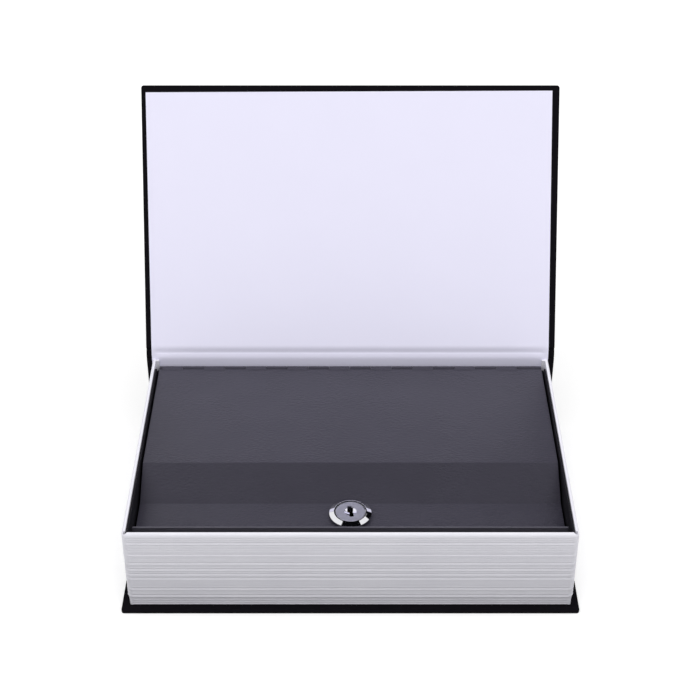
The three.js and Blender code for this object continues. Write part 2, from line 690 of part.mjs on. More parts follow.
function lockPlug() {
  const shaft = rodZ(PLUG_RADIUS, [PLUG_END, FACE_UNDER + PLUG_GAP]);
  const face = rodZ(FACE_RADIUS, [FACE_UNDER, FACE_TOP]);
  const tenon = block(across(TENON / 2), across(TENON / 2), [CAM_UNDER + LOCK_FILM, PLUG_END + PLUG_GAP]);
  const ballRadius = (DISH_RADIUS ** 2 + DISH_DEPTH ** 2) / (2 * DISH_DEPTH);
  const ball = new THREE.SphereGeometry(ballRadius, ROUND, SMALL_ROUND);
  const dish = solid(ball.rotateX(Math.PI / 2).translate(0, 0, FACE_TOP - DISH_DEPTH + ballRadius));
  const keyway = upright(keywayPlan(), [WAFERS_END - KEYWAY_END, FACE_TOP + PAST]);
  const slots = Array.from({ length: WAFERS }, (_, i) => waferSlot(i));
  const tapped = rodZ(SCREW_RADIUS + LOCK_FILM, [CAM_UNDER - PAST, SCREW_TOP], SMALL_ROUND);
  return cutBy(joined([shaft, face, tenon]), [dish, keyway, tapped, ...slots]);
}

// A wafer, drawn in flush with the plug as the key holds it. Its lug faces the spring.
function wafer(i) {
  const side = lugSide(i);
  const round = PLUG_RADIUS - WAFER_GAP;
  const plate = rodZ(round, [0, WAFER_THICK]).intersect(
    block(across(WAFER_WIDTH / 2), across(round), [0, WAFER_THICK]),
  );
  const lugSides = between(side * (WAFER_WIDTH / 2 - WAFER_GAP), side * LUG_REACH);
  const lug = block(lugSides, [0, LUG_HEIGHT], [0, WAFER_THICK]);
  const windowSize = [across(WAFER_WINDOW_WIDTH / 2), across(WAFER_WINDOW / 2), across(PAST)];
  return plate.add(lug).subtract(block(...windowSize));
}

function waferSpring(i) {
  const geometry = new THREE.CylinderGeometry(SPRING_RADIUS, SPRING_RADIUS, SPRING_LENGTH, SMALL_ROUND);
  const x = lugSide(i) * (LUG_REACH - SPRING_RADIUS - WAFER_GAP);
  return solid(geometry.translate(x, -WAFER_GAP - SPRING_LENGTH / 2, WAFER_THICK / 2));
}

function lockWasher() {
  const top = -SHEET - LOCK_FILM;
  return rodZ(WASHER_RADIUS, [top - WASHER_THICK, top]).subtract(barrelHole().translate([0, 0, -SHEET]));
}

function lockNut() {
  const top = -SHEET - LOCK_FILM - WASHER_THICK - LOCK_FILM;
  const corner = NUT_HALF / Math.cos(Math.PI / 6);
  const hexagon = rodZ(corner, [top - NUT_THICK, top], 6);
  return hexagon.subtract(rodZ(BARREL_RADIUS + BARREL_HOLE_GAP, [top - NUT_THICK - PAST, top + PAST]));
}

// The cam points along +X while the lock is open, and turns under the rail to lock.
function cam() {
  const half = CAM_WIDTH / 2;
  const tip = CAM_TIP_RADIUS;
  const straight = CAM_REACH - tip;
  const plan = [
    ...arc([0, 0], half, 90, 270, 2 * CORNER_STEPS),
    ...arc([straight, -half + tip], tip, 270, 360),
    ...arc([straight, half - tip], tip, 0, 90),
  ];
  const plate = upright(plan, [CAM_UNDER, CAM_TOP]);
  const hole = TENON / 2 + LOCK_FILM;
  return plate.subtract(block(across(hole), across(hole), [CAM_UNDER - PAST, CAM_TOP + PAST]));
}

function starWasher() {
  const top = CAM_UNDER - LOCK_FILM;
  const disc = rodZ(STAR_WASHER_RADIUS, [top - STAR_WASHER_THICK, top]);
  return disc.subtract(rodZ(SCREW_RADIUS + LOCK_FILM, [top - PAST, top + PAST], SMALL_ROUND));
}

function camScrew() {
  const headTop = CAM_UNDER - LOCK_FILM - STAR_WASHER_THICK - LOCK_FILM;
  const headBottom = headTop - SCREW_HEAD_THICK;
  const screw = turned([
    [0, headBottom],
    [SCREW_CROWN_RADIUS, headBottom],
    [SCREW_HEAD_RADIUS, headBottom + SCREW_CROWN_HEIGHT],
    [SCREW_HEAD_RADIUS, headTop],
    [SCREW_RADIUS, headTop],
    [SCREW_RADIUS, SCREW_TOP - LOCK_FILM],
    [0, SCREW_TOP - LOCK_FILM],
  ]);
  const arm = across(SCREW_SLOT / 2);
  const length = across(SCREW_SLOT_REACH);
  const slotHeights = [headBottom - PAST, headBottom + SCREW_SLOT_DEPTH];
  return cutBy(screw, [block(arm, length, slotHeights), block(length, arm, slotHeights)]);
}

// The front cover, drawn closed with its hinge line at the group's origin.
const COVER_FORE = FORE_EDGE + FRONT_COVER_SHORT - COVER_AXIS_Y;
const frontLevel = (depth) => COVER / 2 - depth;

function frontCloth() {
  const wrap = wrappedCloth(COVER_FORE, -JOINT_GROOVE, frontLevel);
  const flap = bentSheet(
    [
      [-JOINT_GROOVE - CLOTH_TURN_IN, frontLevel(CLOTH / 2)],
      [-JOINT_GROOVE, frontLevel(CLOTH / 2)],
      [-JOINT_SEAM, 0],
    ],
    CLOTH,
    CLOTH,
  );
  return wrap.add(sideways(flap, across(HALF_WIDTH)));
}

function frontBoard() {
  const heights = [frontLevel(BOARD_INNER), frontLevel(BOARD_OUTER)];
  return upright(boardPlan(COVER_FORE, -JOINT_GROOVE - GLUE_FILM), heights);
}

function frontLining() {
  const along = [COVER_FORE + LINING_MARGIN_FORE, -JOINT_GROOVE];
  return block(liningSides, along, [frontLevel(COVER), frontLevel(LINING_OUTER)]);
}

function bookCase() {
  const group = new THREE.Group();
  group.add(
    clothPiece("case_cloth", caseCloth()),
    boardPiece("back_board", backBoard()),
    boardPiece("spine_board", spineBoard()),
    paperPiece("back_lining", backLining()),
    paperPiece("spine_lining", spineLining()),
    piece("page_frame", pageFrame(), 0xebe9f0, 0.45),
    blackenedPiece("steel_tray", steelTray()),
    zincPiece("hinge_pin", hingePin()),
    blackenedPiece("lock_rail", lockRail()),
  );
  rivetPlaces.forEach(([x, y], i) => {
    const rivet = zincPiece(`tray_rivet_${i + 1}`, trayRivet());
    rivet.position.set(x, y, 0);
    group.add(rivet);
  });
  return group;
}

function frontCover() {
  const group = new THREE.Group();
  group.add(
    clothPiece("front_cloth", frontCloth()),
    boardPiece("front_board", frontBoard()),
    paperPiece("front_lining", frontLining()),
  );
  group.position.set(0, COVER_AXIS_Y, COVER_AXIS_Z);
  group.rotation.x = -THREE.MathUtils.degToRad(COVER_OPENING);
  return group;
}

function camLock() {
  const group = new THREE.Group();
  group.add(
    chromePiece("lock_body", lockBody()),
    zincPiece("lock_washer", lockWasher()),
    zincPiece("lock_nut", lockNut()),
    satinPiece("lock_plug", lockPlug()),
    zincPiece("lock_cam", cam()),
    zincPiece("cam_washer", starWasher()),
    zincPiece("cam_screw", camScrew()),
  );
  for (let i = 0; i < WAFERS; i++) {
    const height = waferHeight(i) - WAFER_THICK;
    const plate = brassPiece(`wafer_${i + 1}`, wafer(i));
    const spring = zincPiece(`wafer_spring_${i + 1}`, waferSpring(i));
    plate.position.z = height;
    spring.position.z = height;
    group.add(plate, spring);
  }
  group.position.set(0, LOCK_Y, LAND_TOP + LOCK_FILM);
  return group;
}

const safe = new THREE.Group();
safe.add(bookCase(), frontCover(), paintedPiece("safe_lid", safeLid()), camLock());

export default safe;
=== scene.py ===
import json
import random
from contextlib import contextmanager
from itertools import accumulate
from math import atan2, ceil, copysign, cos, hypot, pi, radians, sin, sqrt, tan

import bmesh
import bpy
from mathutils import Matrix, Vector


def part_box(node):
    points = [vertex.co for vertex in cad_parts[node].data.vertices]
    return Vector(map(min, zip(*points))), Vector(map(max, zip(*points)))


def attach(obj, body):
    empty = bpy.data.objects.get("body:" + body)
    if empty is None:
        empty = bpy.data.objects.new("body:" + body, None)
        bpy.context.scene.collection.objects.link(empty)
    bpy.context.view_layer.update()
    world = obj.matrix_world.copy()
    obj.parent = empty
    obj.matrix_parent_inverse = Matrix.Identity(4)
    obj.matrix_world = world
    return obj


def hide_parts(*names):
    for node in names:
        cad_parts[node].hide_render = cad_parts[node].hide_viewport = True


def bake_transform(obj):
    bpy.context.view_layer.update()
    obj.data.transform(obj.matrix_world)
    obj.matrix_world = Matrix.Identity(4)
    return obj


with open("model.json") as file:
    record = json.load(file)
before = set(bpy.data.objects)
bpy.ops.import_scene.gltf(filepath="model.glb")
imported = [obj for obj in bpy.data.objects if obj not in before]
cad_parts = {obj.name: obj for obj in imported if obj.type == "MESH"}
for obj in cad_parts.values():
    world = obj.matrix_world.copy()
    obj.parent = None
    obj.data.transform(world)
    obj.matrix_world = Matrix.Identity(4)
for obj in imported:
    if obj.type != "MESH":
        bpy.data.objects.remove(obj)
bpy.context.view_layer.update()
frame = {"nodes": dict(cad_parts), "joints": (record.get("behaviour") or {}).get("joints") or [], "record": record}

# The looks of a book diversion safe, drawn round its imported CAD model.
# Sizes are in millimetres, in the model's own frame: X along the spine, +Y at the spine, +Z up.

MM = 0.001

# The layers of a cover
CLOTH = 0.3
COVER = 2.5
TURN_IN = 15
CLOTH_FOLD = 0.55  # how round the cloth lies over a board's edge
BOARD_CORNER = 1.6
CLOTH_TUCK = 0.03  # how far the joint's cloth lies behind the covers' faces

# The page frame
FRAME_WALL = 2
FRAME_CORNER = 3
FRAME_TOP_ROUND = 1.2
FRAME_TOP_DROP = 2.4
FRAME_RETURN = 2
FRAME_RETURN_WALL = 1.3
RETURN_LAP = 0.4
RETURN_SHORT = 0.02
RETURN_ROUND = 0.5
FOOT_HEIGHT = 6
BEAD = 1
PAGE_RIDGE = 0.25
PAGE_GAPS = [5.0, 7.1, 2.9, 3.4, 4.2, 5.9, 7.8]
PAGE_LINE_DEPTH = 0.11
PAGE_LINE_PITCH = 1.2

# Sheet steel
SHEET = 1
SHEET_BEND = 1.5
SHEET_EDGE = 0.3
TRAY_CORNER = 0.5
TRAY_FLOOR_ROUND = 1
LID_LAND_DEPTH = 29.4
LID_SLOPE_RUN = 21.6
LID_LIP_HEIGHT = 9

# The lid's hinge
PIN_RADIUS = 0.75
PIN_PEEN = 0.35
KNUCKLE_BORE = 0.95
KNUCKLE_WALL = 0.95
KNUCKLE_PITCH = 24.5
KNUCKLE_LENGTH = 12.25
KNUCKLE_SHIFT = 5.85
KNUCKLE_SIDE_GAP = 0.12
KNUCKLE_SLOT = 0.5
KNUCKLE_END = 6
KNUCKLE_LEAST = 1
KNUCKLE_EDGE = 0.15
TRAY_ROLL = (0, 318)  # degrees round the pin, from the tray's wall
LID_ROLL = (90, -228)  # and from the lid's panel
ROLL_STEPS = 28
CUTTER_PAST = 3  # how far a cutter stands out past what it cuts
NOTCH_GAP = 0.5

# The lock: radii from its axis, and heights from the land's top face
PLUG_RADIUS = 5.9
BORE_RADIUS = 6.1
BARREL_RADIUS = 7.9
BARREL_FLAT = 7.2
BARREL_GAP = 0.2
SEAT_RADIUS = 9.3
HEAD_RADIUS = 11.2
RIM_RADIUS = 8.7
RECESS_RADIUS = 7.95
FACE_RADIUS = 7.75
DISH_RADIUS = 3.25
DISH_DEPTH = 0.8
DISH_STEPS = 12
SEAT_HEIGHT = 1.2
HEAD_EDGE = 0.7
HEAD_HEIGHT = 3.1
FACE_TOP = 2.9
FACE_UNDER = 1.9
BARREL_END = -15.6
THREAD_PITCH = 1
THREAD_DEPTH = 0.45
THREAD_GAP = 0.12
NUT_CHAMFER = 0.6
NUT_EDGE = 0.08
KEYWAY_HEIGHT = 8.4
KEYWAY_WIDTH = 2.1
KEYWAY_STEP = 1.2
KEYWAY_WAIST = 1
KEYWAY_END = -10.3
SCREW_HOLE = (1.55, -17.4, -12.3)  # its radius, bottom and top in the plug
WAFER_GROOVES = (-10.1, -1.5)
GROOVE_CROSS = (3.7, 6.9)
WAFERS = 4
WAFER_TOP = -1.6
WAFER_PITCH = 2.5
WAFER_SLOT = (-1, 0.1)  # from a wafer's top
WAFER_HALF = 3.6
SPRING_POCKET = (4.8, -2.6, 1.9)  # its reach along X, and its ends along Y
TENON_HALF = 3
TENON_END = -17.2

ROUND = 96
SMALL_ROUND = 48
EDGE_STEPS = 3
CORNER_STEPS = 5
BEND_STEPS = 8
SMOOTH_ANGLE = radians(32)
SOFT_ANGLE = radians(35)
SLIVER = 0.002  # a cut's thinner faces are dissolved


class Room:
    """The box that a CAD node fills, in millimetres."""

    def __init__(self, node):
        low, high = ([value / MM for value in corner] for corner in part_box(node))
        self.left, self.front, self.bottom = low
        self.right, self.rear, self.top = high
        self.middle = [(first + last) / 2 for first, last in zip(low, high)]
        self.half = (self.right - self.left) / 2


record = frame["record"]
slot_of = {row["node"]: row["material_slot"] for row in record["subparts"]}
body_of = {node: body for body, nodes in record["behaviour"]["bodies"].items() for node in nodes}
joint_of = {joint["name"]: joint for joint in frame["joints"]}


def joint_place(name):
    return Vector(joint_of[name]["pos_m"]) / MM


class Shell:
    """Points and faces on their way to a mesh. flat holds where each point lay before its sheet was bent."""

    def __init__(self):
        self.points = []
        self.flat = []
        self.faces = []

    def ring(self, points, flat=None):
        start = len(self.points)
        self.points += [tuple(point) for point in points]
        self.flat += [tuple(point) for point in flat or points]
        return list(range(start, len(self.points)))

    def bridge(self, first, second):
        """Joins two rings with a band of faces."""
        count = len(first)
        for i in range(count):
            after = (i + 1) % count
            self.faces.append((first[i], first[after], second[after], second[i]))

    def loft(self, rings, capped=True):
        """Joins rings of points in a row. Its ends are capped, or else the last ring meets the first."""
        placed = [self.ring(*ring) if isinstance(ring, tuple) else self.ring(ring) for ring in rings]
        for first, second in zip(placed, placed[1:]):
            self.bridge(first, second)
        if capped:
            self.faces += [tuple(reversed(placed[0])), tuple(placed[-1])]
        else:
            self.bridge(placed[-1], placed[0])

    def moved(self, change):
        """Puts every point through a function."""
        self.points = [tuple(change(Vector(point))) for point in self.points]
        return self

    def add(self, other):
        start = len(self.points)
        self.points += other.points
        self.flat += other.flat
        self.faces += [tuple(start + i for i in face) for face in other.faces]
        return self


def lofted(rings, capped=True):
    """A closed shell through rings of points."""
    shell = Shell()
    shell.loft(rings, capped)
    return shell


def section(outline, z):
    return [(x, y, z) for x, y in outline]


def upright(outline, low, high):
    """A sharp-edged bar between two heights, from its shape seen from above."""
    return lofted([section(outline, z) for z in (low, high)])


def linked(name, data):
    """A Blender object in the scene."""
    shown = bpy.data.objects.new(name, data)
    bpy.context.scene.collection.objects.link(shown)
    return shown


@contextmanager
def reworked(mesh):
    """Opens a mesh for changes and writes them back."""
    work = bmesh.new()
    work.from_mesh(mesh)
    yield work
    work.to_mesh(mesh)
    work.free()


def piece(name, shell):
    """A Blender object from a shell, with its faces pointing out."""
    mesh = bpy.data.meshes.new(name)
    mesh.from_pydata([Vector(point) * MM for point in shell.points], [], shell.faces)
    flat = mesh.attributes.new("flat", "FLOAT_VECTOR", "POINT")
    flat.data.foreach_set("vector", [value for point in shell.flat for value in point])
    with reworked(mesh) as work:
        bmesh.ops.remove_doubles(work, verts=work.verts, dist=1e-7)
        bmesh.ops.recalc_face_normals(work, faces=work.faces)
    return linked(name, mesh)


def settle(shown):
    """Turns an object's modifiers into its mesh."""
    bpy.context.view_layer.update()
    graph = bpy.context.evaluated_depsgraph_get()
    mesh = bpy.data.meshes.new_from_object(shown.evaluated_get(graph))
    shown.modifiers.clear()
    shown.data = mesh
    return shown


def cut(shown, tool, operation="DIFFERENCE"):
    """Cuts an object with a shell, or keeps what the two share."""
    cutter = piece("cutter", tool)
    boolean = shown.modifiers.new("cut", "BOOLEAN")
    boolean.object = cutter
    boolean.operation = operation
    boolean.solver = "EXACT"
    settle(shown)
    bpy.data.objects.remove(cutter)
    with reworked(shown.data) as work:
        bmesh.ops.dissolve_degenerate(work, edges=work.edges, dist=SLIVER * MM)
    return shown


def soften(shown, width):
    """Rounds an object's sharp edges a little."""
    bevel = shown.modifiers.new("soft edges", "BEVEL")
    bevel.width = width * MM
    bevel.segments = 2
    bevel.limit_method = "ANGLE"
    bevel.angle_limit = SOFT_ANGLE
    return shown


def shade(shown):
    """Shades round faces smooth, and keeps broad flat ones flat."""
    shown.data.shade_smooth()
    shown.data.set_sharp_from_angle(angle=SMOOTH_ANGLE)
    even = shown.modifiers.new("even shading", "WEIGHTED_NORMAL")
    even.keep_sharp = True
    return shown


def wear(shown, material):
    shown.data.materials.clear()
    shown.data.materials.append(material)


def stand_for(shown, material, *nodes, slot=None):
    """Lets a piece take the place and the body of CAD nodes, in the finish it is given."""
    wear(shade(shown), material)
    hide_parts(*nodes)
    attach(shown, body_of[nodes[0]])


# Lines and outlines in a plane


def arc(centre, radius, start, end, steps):
    x, y = centre
    angles = [radians(start + (end - start) * i / steps) for i in range(steps + 1)]
    return [Vector((x + radius * cos(angle), y + radius * sin(angle))) for angle in angles]


def beside(heading):
    return Vector((-heading.y, heading.x))


def turned_by(vector, angle):
    cosine, sine = cos(angle), sin(angle)
    return Vector((vector.x * cosine - vector.y * sine, vector.x * sine + vector.y * cosine))


def bent_line(corners):
    """A line through corners with each bend rounded, as pairs of a point and the direction beside it."""
    corners = [Vector(corner) for corner in corners]
    line = [(corners[0], beside((corners[1] - corners[0]).normalized()))]
    for before, corner, after in zip(corners, corners[1:], corners[2:]):
        coming = (corner - before).normalized()
        going = (after - corner).normalized()
        turn = atan2(coming.x * going.y - coming.y * going.x, coming.dot(going))
        bend = copysign(SHEET_BEND, turn)
        start = corner - coming * SHEET_BEND * tan(abs(turn) / 2)
        centre = start + beside(coming) * bend
        for i in range(BEND_STEPS + 1):
            side = turned_by(beside(coming), turn * i / BEND_STEPS)
            line.append((centre - side * bend, side))
    line.append((corners[-1], beside((corners[-1] - corners[-2]).normalized())))
    return line


def with_sides(points):
    """Pairs of each point of a smooth line and the direction beside it."""
    headings = [(after - before).normalized() for before, after in zip(points, points[1:])]
    headings = [headings[0], *headings, headings[-1]]
    middles = [(before + after).normalized() for before, after in zip(headings, headings[1:])]
    return [(point, beside(middle)) for point, middle in zip(points, middles)]


def flowing_line(points, steps=6):
    """A smooth line through points, as pairs of a point and the direction beside it."""
    points = [Vector(point) for point in points]
    padded = [2 * points[0] - points[1], *points, 2 * points[-1] - points[-2]]
    smooth = []
    for a, b, c, d in zip(padded, padded[1:], padded[2:], padded[3:]):
        tangent_b = (c - a) * (c - b).length / ((c - b).length + (b - a).length)
        tangent_c = (d - b) * (c - b).length / ((c - b).length + (d - c).length)
        for i in range(steps):
            t = i / steps
            ahead = (1 + 2 * t) * (1 - t) ** 2 * b + t * (1 - t) ** 2 * tangent_b
            smooth.append(ahead + t * t * (3 - 2 * t) * c + t * t * (t - 1) * tangent_c)
    smooth.append(points[-1])
    return with_sides(smooth)


def edge_arc(point, side, half, edge, shrink):
    """The points round a sheet's free edge, from its face at side to the other one."""
    ahead = Vector((side.y, -side.x))
    radius = edge - shrink
    points = []
    for sign, start in ((1, 0), (-1, 90)):
        centre = point - ahead * edge + side * sign * (half - edge)
        for i in range(EDGE_STEPS + 1):
            angle = radians(start + 90 * i / EDGE_STEPS)
            points.append(centre + side * radius * cos(angle) + ahead * radius * sin(angle))
    return points


def sheet_outline(line, thickness, edge, shrink=0, offset=0):
    """The closed outline of a sheet that follows a line, with its free edges rounded."""
    half = thickness / 2
    line = [(point + side * offset, side) for point, side in line]
    one_face = [point + side * (half - shrink) for point, side in line[1:-1]]
    other_face = [point - side * (half - shrink) for point, side in line[1:-1]]
    far_edge = edge_arc(*line[-1], half, edge, shrink)
    near_edge = edge_arc(line[0][0], -line[0][1], half, edge, shrink)
    return one_face + far_edge + other_face[::-1] + near_edge


def end_stations(left, right, edge):
    """Where sections stand along X, and how far each is shrunk so that the end edges come out round."""
    last = radians(75)
    rounding = []
    for i in range(EDGE_STEPS + 1):
        angle = last * i / EDGE_STEPS
        rounding.append((edge * (1 - sin(angle) / sin(last)), edge * (1 - cos(angle))))
    low = [(left + inset, shrink) for inset, shrink in reversed(rounding)]
    high = [(right - inset, shrink) for inset, shrink in rounding]
    return low + high


def with_lengths(x, outline):
    """A section's points in space, and where they lie on the unbent sheet."""
    steps = [(after - before).length for before, after in zip(outline, outline[1:])]
    return [(x, y, z) for y, z in outline], [(x, length, 0) for length in accumulate(steps, initial=0)]


def drawn_sheet(line, thickness, left, right, edge=SHEET_EDGE):
    """A bent sheet that runs along X with all its edges rounded."""
    ends = end_stations(left, right, edge)
    outline = lambda shrink: sheet_outline(line, thickness, edge, shrink)
    return lofted([with_lengths(x, outline(shrink)) for x, shrink in ends])


def plan(left, right, front, rear, radii, inset=0, steps=8):
    """A rectangle seen from above, with a radius for its front and one for its rear corners."""
    at_front = max(radii[0] - inset, 0.02)
    at_rear = max(radii[1] - inset, 0.02)
    left, right, front, rear = left + inset, right - inset, front + inset, rear - inset
    return [
        *arc((left + at_front, front + at_front), at_front, 180, 270, steps),
        *arc((right - at_front, front + at_front), at_front, 270, 360, steps),
        *arc((right - at_rear, rear - at_rear), at_rear, 0, 90, steps),
        *arc((left + at_rear, rear - at_rear), at_rear, 90, 180, steps),
    ]


def quarter(radius, steps=CORNER_STEPS):
    """Round a quarter of a circle: how far each point lies from the ends of the two straight sides."""
    angles = [radians(90 * i / steps) for i in range(steps + 1)]
    return [(radius * (1 - cos(angle)), radius * (1 - sin(angle))) for angle in angles]


def levels(low, high, edge_low, edge_high):
    """Heights up a slab and the inset at each, so that its lower and upper edges come out round."""
    found = [(low + rise, inset) for rise, inset in quarter(edge_low)]
    return found + [(high - drop, inset) for inset, drop in quarter(edge_high)]


def slab(outline, low, high, edge_low, edge_high):
    """A solid between two heights. outline(inset) gives its shape seen from above."""
    heights = levels(low, high, edge_low, edge_high)
    return lofted([section(outline(inset), z) for z, inset in heights])


def block(xs, ys, zs, edge=0.0):
    """A box with its edges rounded, or sharp for cutting."""
    if not edge:
        corners = zip((*xs, *xs[::-1]), (ys[0], ys[0], ys[1], ys[1]))
        return upright(list(corners), *zs)
    return slab(lambda inset: plan(*xs, *ys, (edge, edge), inset, 4), *zs, edge, edge)


def circle(radius, z, steps=ROUND):
    angles = (2 * pi * i / steps for i in range(steps))
    return [(radius * cos(angle), radius * sin(angle), z) for angle in angles]


def lathe(profile, steps=ROUND):
    """A turned shape. The profile holds (radius, height) points, and starts and ends on the axis."""
    shell = Shell()
    rings = [shell.ring(circle(radius, z, steps if radius > 0 else 1)) for radius, z in profile]
    for low, high in zip(rings, rings[1:]):
        if len(low) == len(high) == steps:
            shell.bridge(low, high)
        elif len(high) == 1:
            shell.faces += [(low[i], low[(i + 1) % steps], high[0]) for i in range(steps)]
        elif len(low) == 1:
            shell.faces += [(low[0], high[(i + 1) % steps], high[i]) for i in range(steps)]
    return shell


def rounded_profile(corners):
    """A profile whose corners, given as (radius, height, rounding), are rounded."""
    points = []
    for i, (x, y, rounding) in enumerate(corners):
        corner = Vector((x, y))
        if not rounding or i in (0, len(corners) - 1):
            points.append(corner)
            continue
        before = Vector(corners[i - 1][:2])
        after = Vector(corners[i + 1][:2])
        start = corner + (before - corner).normalized() * rounding
        end = corner + (after - corner).normalized() * rounding
        for t in (0, 0.25, 0.5, 0.75, 1):
            points.append((1 - t) ** 2 * start + 2 * t * (1 - t) * corner + t * t * end)
    return [tuple(point) for point in points]


# Finishes

EVEN = (1, 1, 1)  # a noise that is stretched nowhere


def colour(red, green, blue):
    """A colour as a screen shows it, from 0 to 255, in the renderer's own values."""

    def linear(value):
        value /= 255
        return value / 12.92 if value <= 0.04045 else ((value + 0.055) / 1.055) ** 2.4

    return (linear(red), linear(green), linear(blue), 1)


def operator(operation, swapped=False):
    """A Math node as one of Python's operators."""
    return lambda self, other: self.finish.maths(operation, *((other, self) if swapped else (self, other)))


class Value:
    """What a node gives out. Python's operators on it add Math nodes."""

    def __init__(self, finish, socket):
        self.finish = finish
        self.socket = socket

    __add__ = __radd__ = operator("ADD")
    __mul__ = __rmul__ = operator("MULTIPLY")
    __sub__ = operator("SUBTRACT")
    __rsub__ = operator("SUBTRACT", swapped=True)

    def ramp(self, low, high):
        """From 0 at low to 1 at high, with soft ends."""
        settings = {"interpolation_type": "SMOOTHSTEP"}
        return self.finish.node("MapRange", settings, {"Value": self, 1: low, 2: high})


class Finish:
    """A material in the making."""

    def __init__(self, name=None, tree=None):
        if not tree:
            self.material = bpy.data.materials.new(name)
            self.material.use_nodes = True
        self.tree = tree or self.material.node_tree
        self.tree.nodes.clear()

    def node(self, kind, settings=None, values=None, output=0):
        """Adds a node: its settings first, then the values or links of its sockets."""
        node = self.tree.nodes.new(f"ShaderNode{kind}")
        for name, setting in (settings or {}).items():
            setattr(node, name, setting)
        for name, value in (values or {}).items():
            if isinstance(value, Value):
                self.tree.links.new(value.socket, node.inputs[name])
            else:
                node.inputs[name].default_value = value
        return Value(self, node.outputs[output]) if node.outputs else None

    def maths(self, operation, *inputs):
        return self.node("Math", {"operation": operation}, dict(enumerate(inputs)))

    def place(self, stretch=(1, 1, 1), flat=False):
        """Where a point is on the object, or was on its flat sheet, in millimetres times a stretch."""
        if flat:
            found = self.node("Attribute", {"attribute_name": "flat"}, output="Vector")
        else:
            found = self.node("TexCoord", output="Object")
            stretch = [share / MM for share in stretch]
        return self.node("VectorMath", {"operation": "MULTIPLY"}, {0: found, 1: stretch})

    def parts(self, vector):
        """The X, Y and Z of a vector."""
        split = self.node("SeparateXYZ", values={0: vector})
        return [Value(self, output) for output in split.socket.node.outputs]

    def noise(self, place, scale, detail=3, roughness=0.5, distortion=0):
        values = {"Vector": place, "Scale": scale, "Detail": detail, "Roughness": roughness}
        return self.node("TexNoise", values={**values, "Distortion": distortion})

    def tint(self, share, first, second):
        """A colour between two that are given as a screen shows them."""
        return self.mixed(share, colour(*first), colour(*second))

    def mixed(self, share, first, second):
        """A colour between two."""
        return self.node("Mix", {"data_type": "RGBA"}, {0: share, 6: first, 7: second}, output=2)

    def bump(self, height, depth):
        """A normal from a height of 0 to 1 that stands for a depth in millimetres."""
        values = {"Height": height, "Distance": depth * MM, "Strength": 1.0}
        return self.node("Bump", values=values)

    def surface(self, **sockets):
        """Shades the material. Base_Color stands for the socket Base Color, and so on."""
        values = {name.replace("_", " "): value for name, value in sockets.items()}
        shader = self.node("BsdfPrincipled", values=values, output="BSDF")
        self.node("OutputMaterial", values={"Surface": shader})
        return self.material


def book_cloth_finish():
    """Black coated book cloth with a plain weave."""
    finish = Finish("black book cloth")
    thread = 0.42
    across, along, _ = finish.parts(finish.place((1 / thread, 1 / thread, 1), flat=True))
    warp = finish.maths("ABSOLUTE", finish.maths("SINE", across * pi))
    weft = finish.maths("ABSOLUTE", finish.maths("SINE", along * pi))
    steps = finish.maths("FLOOR", across) + finish.maths("FLOOR", along)
    over = finish.maths("PINGPONG", steps, 1)
    weave = over * warp * (0.5 + 0.5 * weft) + (1 - over) * weft * (0.5 + 0.5 * warp)
    slub = finish.noise(finish.place((0.05, 1.4, 1), flat=True), 1, 2)
    scuff = finish.noise(finish.place(), 0.08, 4, 0.6)
    shade_share = weave * 0.5 + slub * 0.3 + scuff * 0.2
    return finish.surface(
        Base_Color=finish.tint(shade_share, (8, 7, 10), (24, 22, 27)),
        Roughness=0.6 + 0.25 * scuff,
        Specular_IOR_Level=0.03,
        Normal=finish.bump(weave + slub * 0.5, 0.05),
    )


def weighed(values, shares):
    """The sum of values times their shares."""
    parts = [value * share for value, share in zip(values, shares) if share]
    return sum(parts[1:], parts[0])


def mottled_finish(name, noises, dark, light, tint, rough, relief, depth, flat=False, **sockets):
    """A finish made of noises alone. tint, rough and relief hold each noise's share, rough also a base."""
    finish = Finish(name)
    found = [finish.noise(finish.place(stretch, flat), *settings) for stretch, *settings in noises]
    return finish.surface(
        Base_Color=finish.tint(weighed(found, tint), dark, light),
        Roughness=rough[0] + weighed(found, rough[1:]),
        Normal=finish.bump(weighed(found, relief), depth),
        **sockets,
    )


def lid_finish():
    """Charcoal powder coat with a fine orange peel, drawn out along X, and painted paler on the lip as painted
    light.
    """
    finish = Finish("charcoal paint")
    peel = finish.noise(finish.place((0.55, 1.25, 1)), 0.8, 3, 0.5, 0.3)
    streak = finish.noise(finish.place((0.2, 1.2, 1)), 1, 3, 0.6)
    cloud = finish.noise(finish.place(), 0.03, 2)
    thick_coat = finish.noise(finish.place(), 0.035, 2).ramp(0.35, 0.62)
    share = streak * 0.4 + cloud * 0.6
    room = Room("safe_lid")
    _, y, z = finish.parts(finish.place())
    # Painted light: the lip's front face gets a paler colour that stands in for light falling in the finger gap,
    # not for wear
    lip_painted_light = (1 - y.ramp(room.front + 1, room.front + 2)) * z.ramp(room.bottom + 2, room.bottom + 5)
    paint = finish.tint(share, (46, 44, 55), (56, 54, 66))
    return finish.surface(
        Base_Color=finish.mixed(lip_painted_light * (0.7 + 0.3 * streak), paint, colour(84, 82, 92)),
        Roughness=0.4 + 0.12 * peel,
        Specular_IOR_Level=0.75,
        Normal=finish.bump(peel * (0.4 + 0.6 * thick_coat), 0.42),
    )


def metal_finish(name, dark, light, roughness, spread, scratch_depth):
    """Bare or plated metal with clouds and fine scratches."""
    noises = [(EVEN, 0.25, 3), ((0.15, 3.5, 1), 1.5, 3, 0.7)]
    rough = (roughness, 0.6 * spread, 0.4 * spread)
    return mottled_finish(name, noises, dark, light, (0.6, 0.4), rough, (0, 1), scratch_depth, Metallic=1.0)


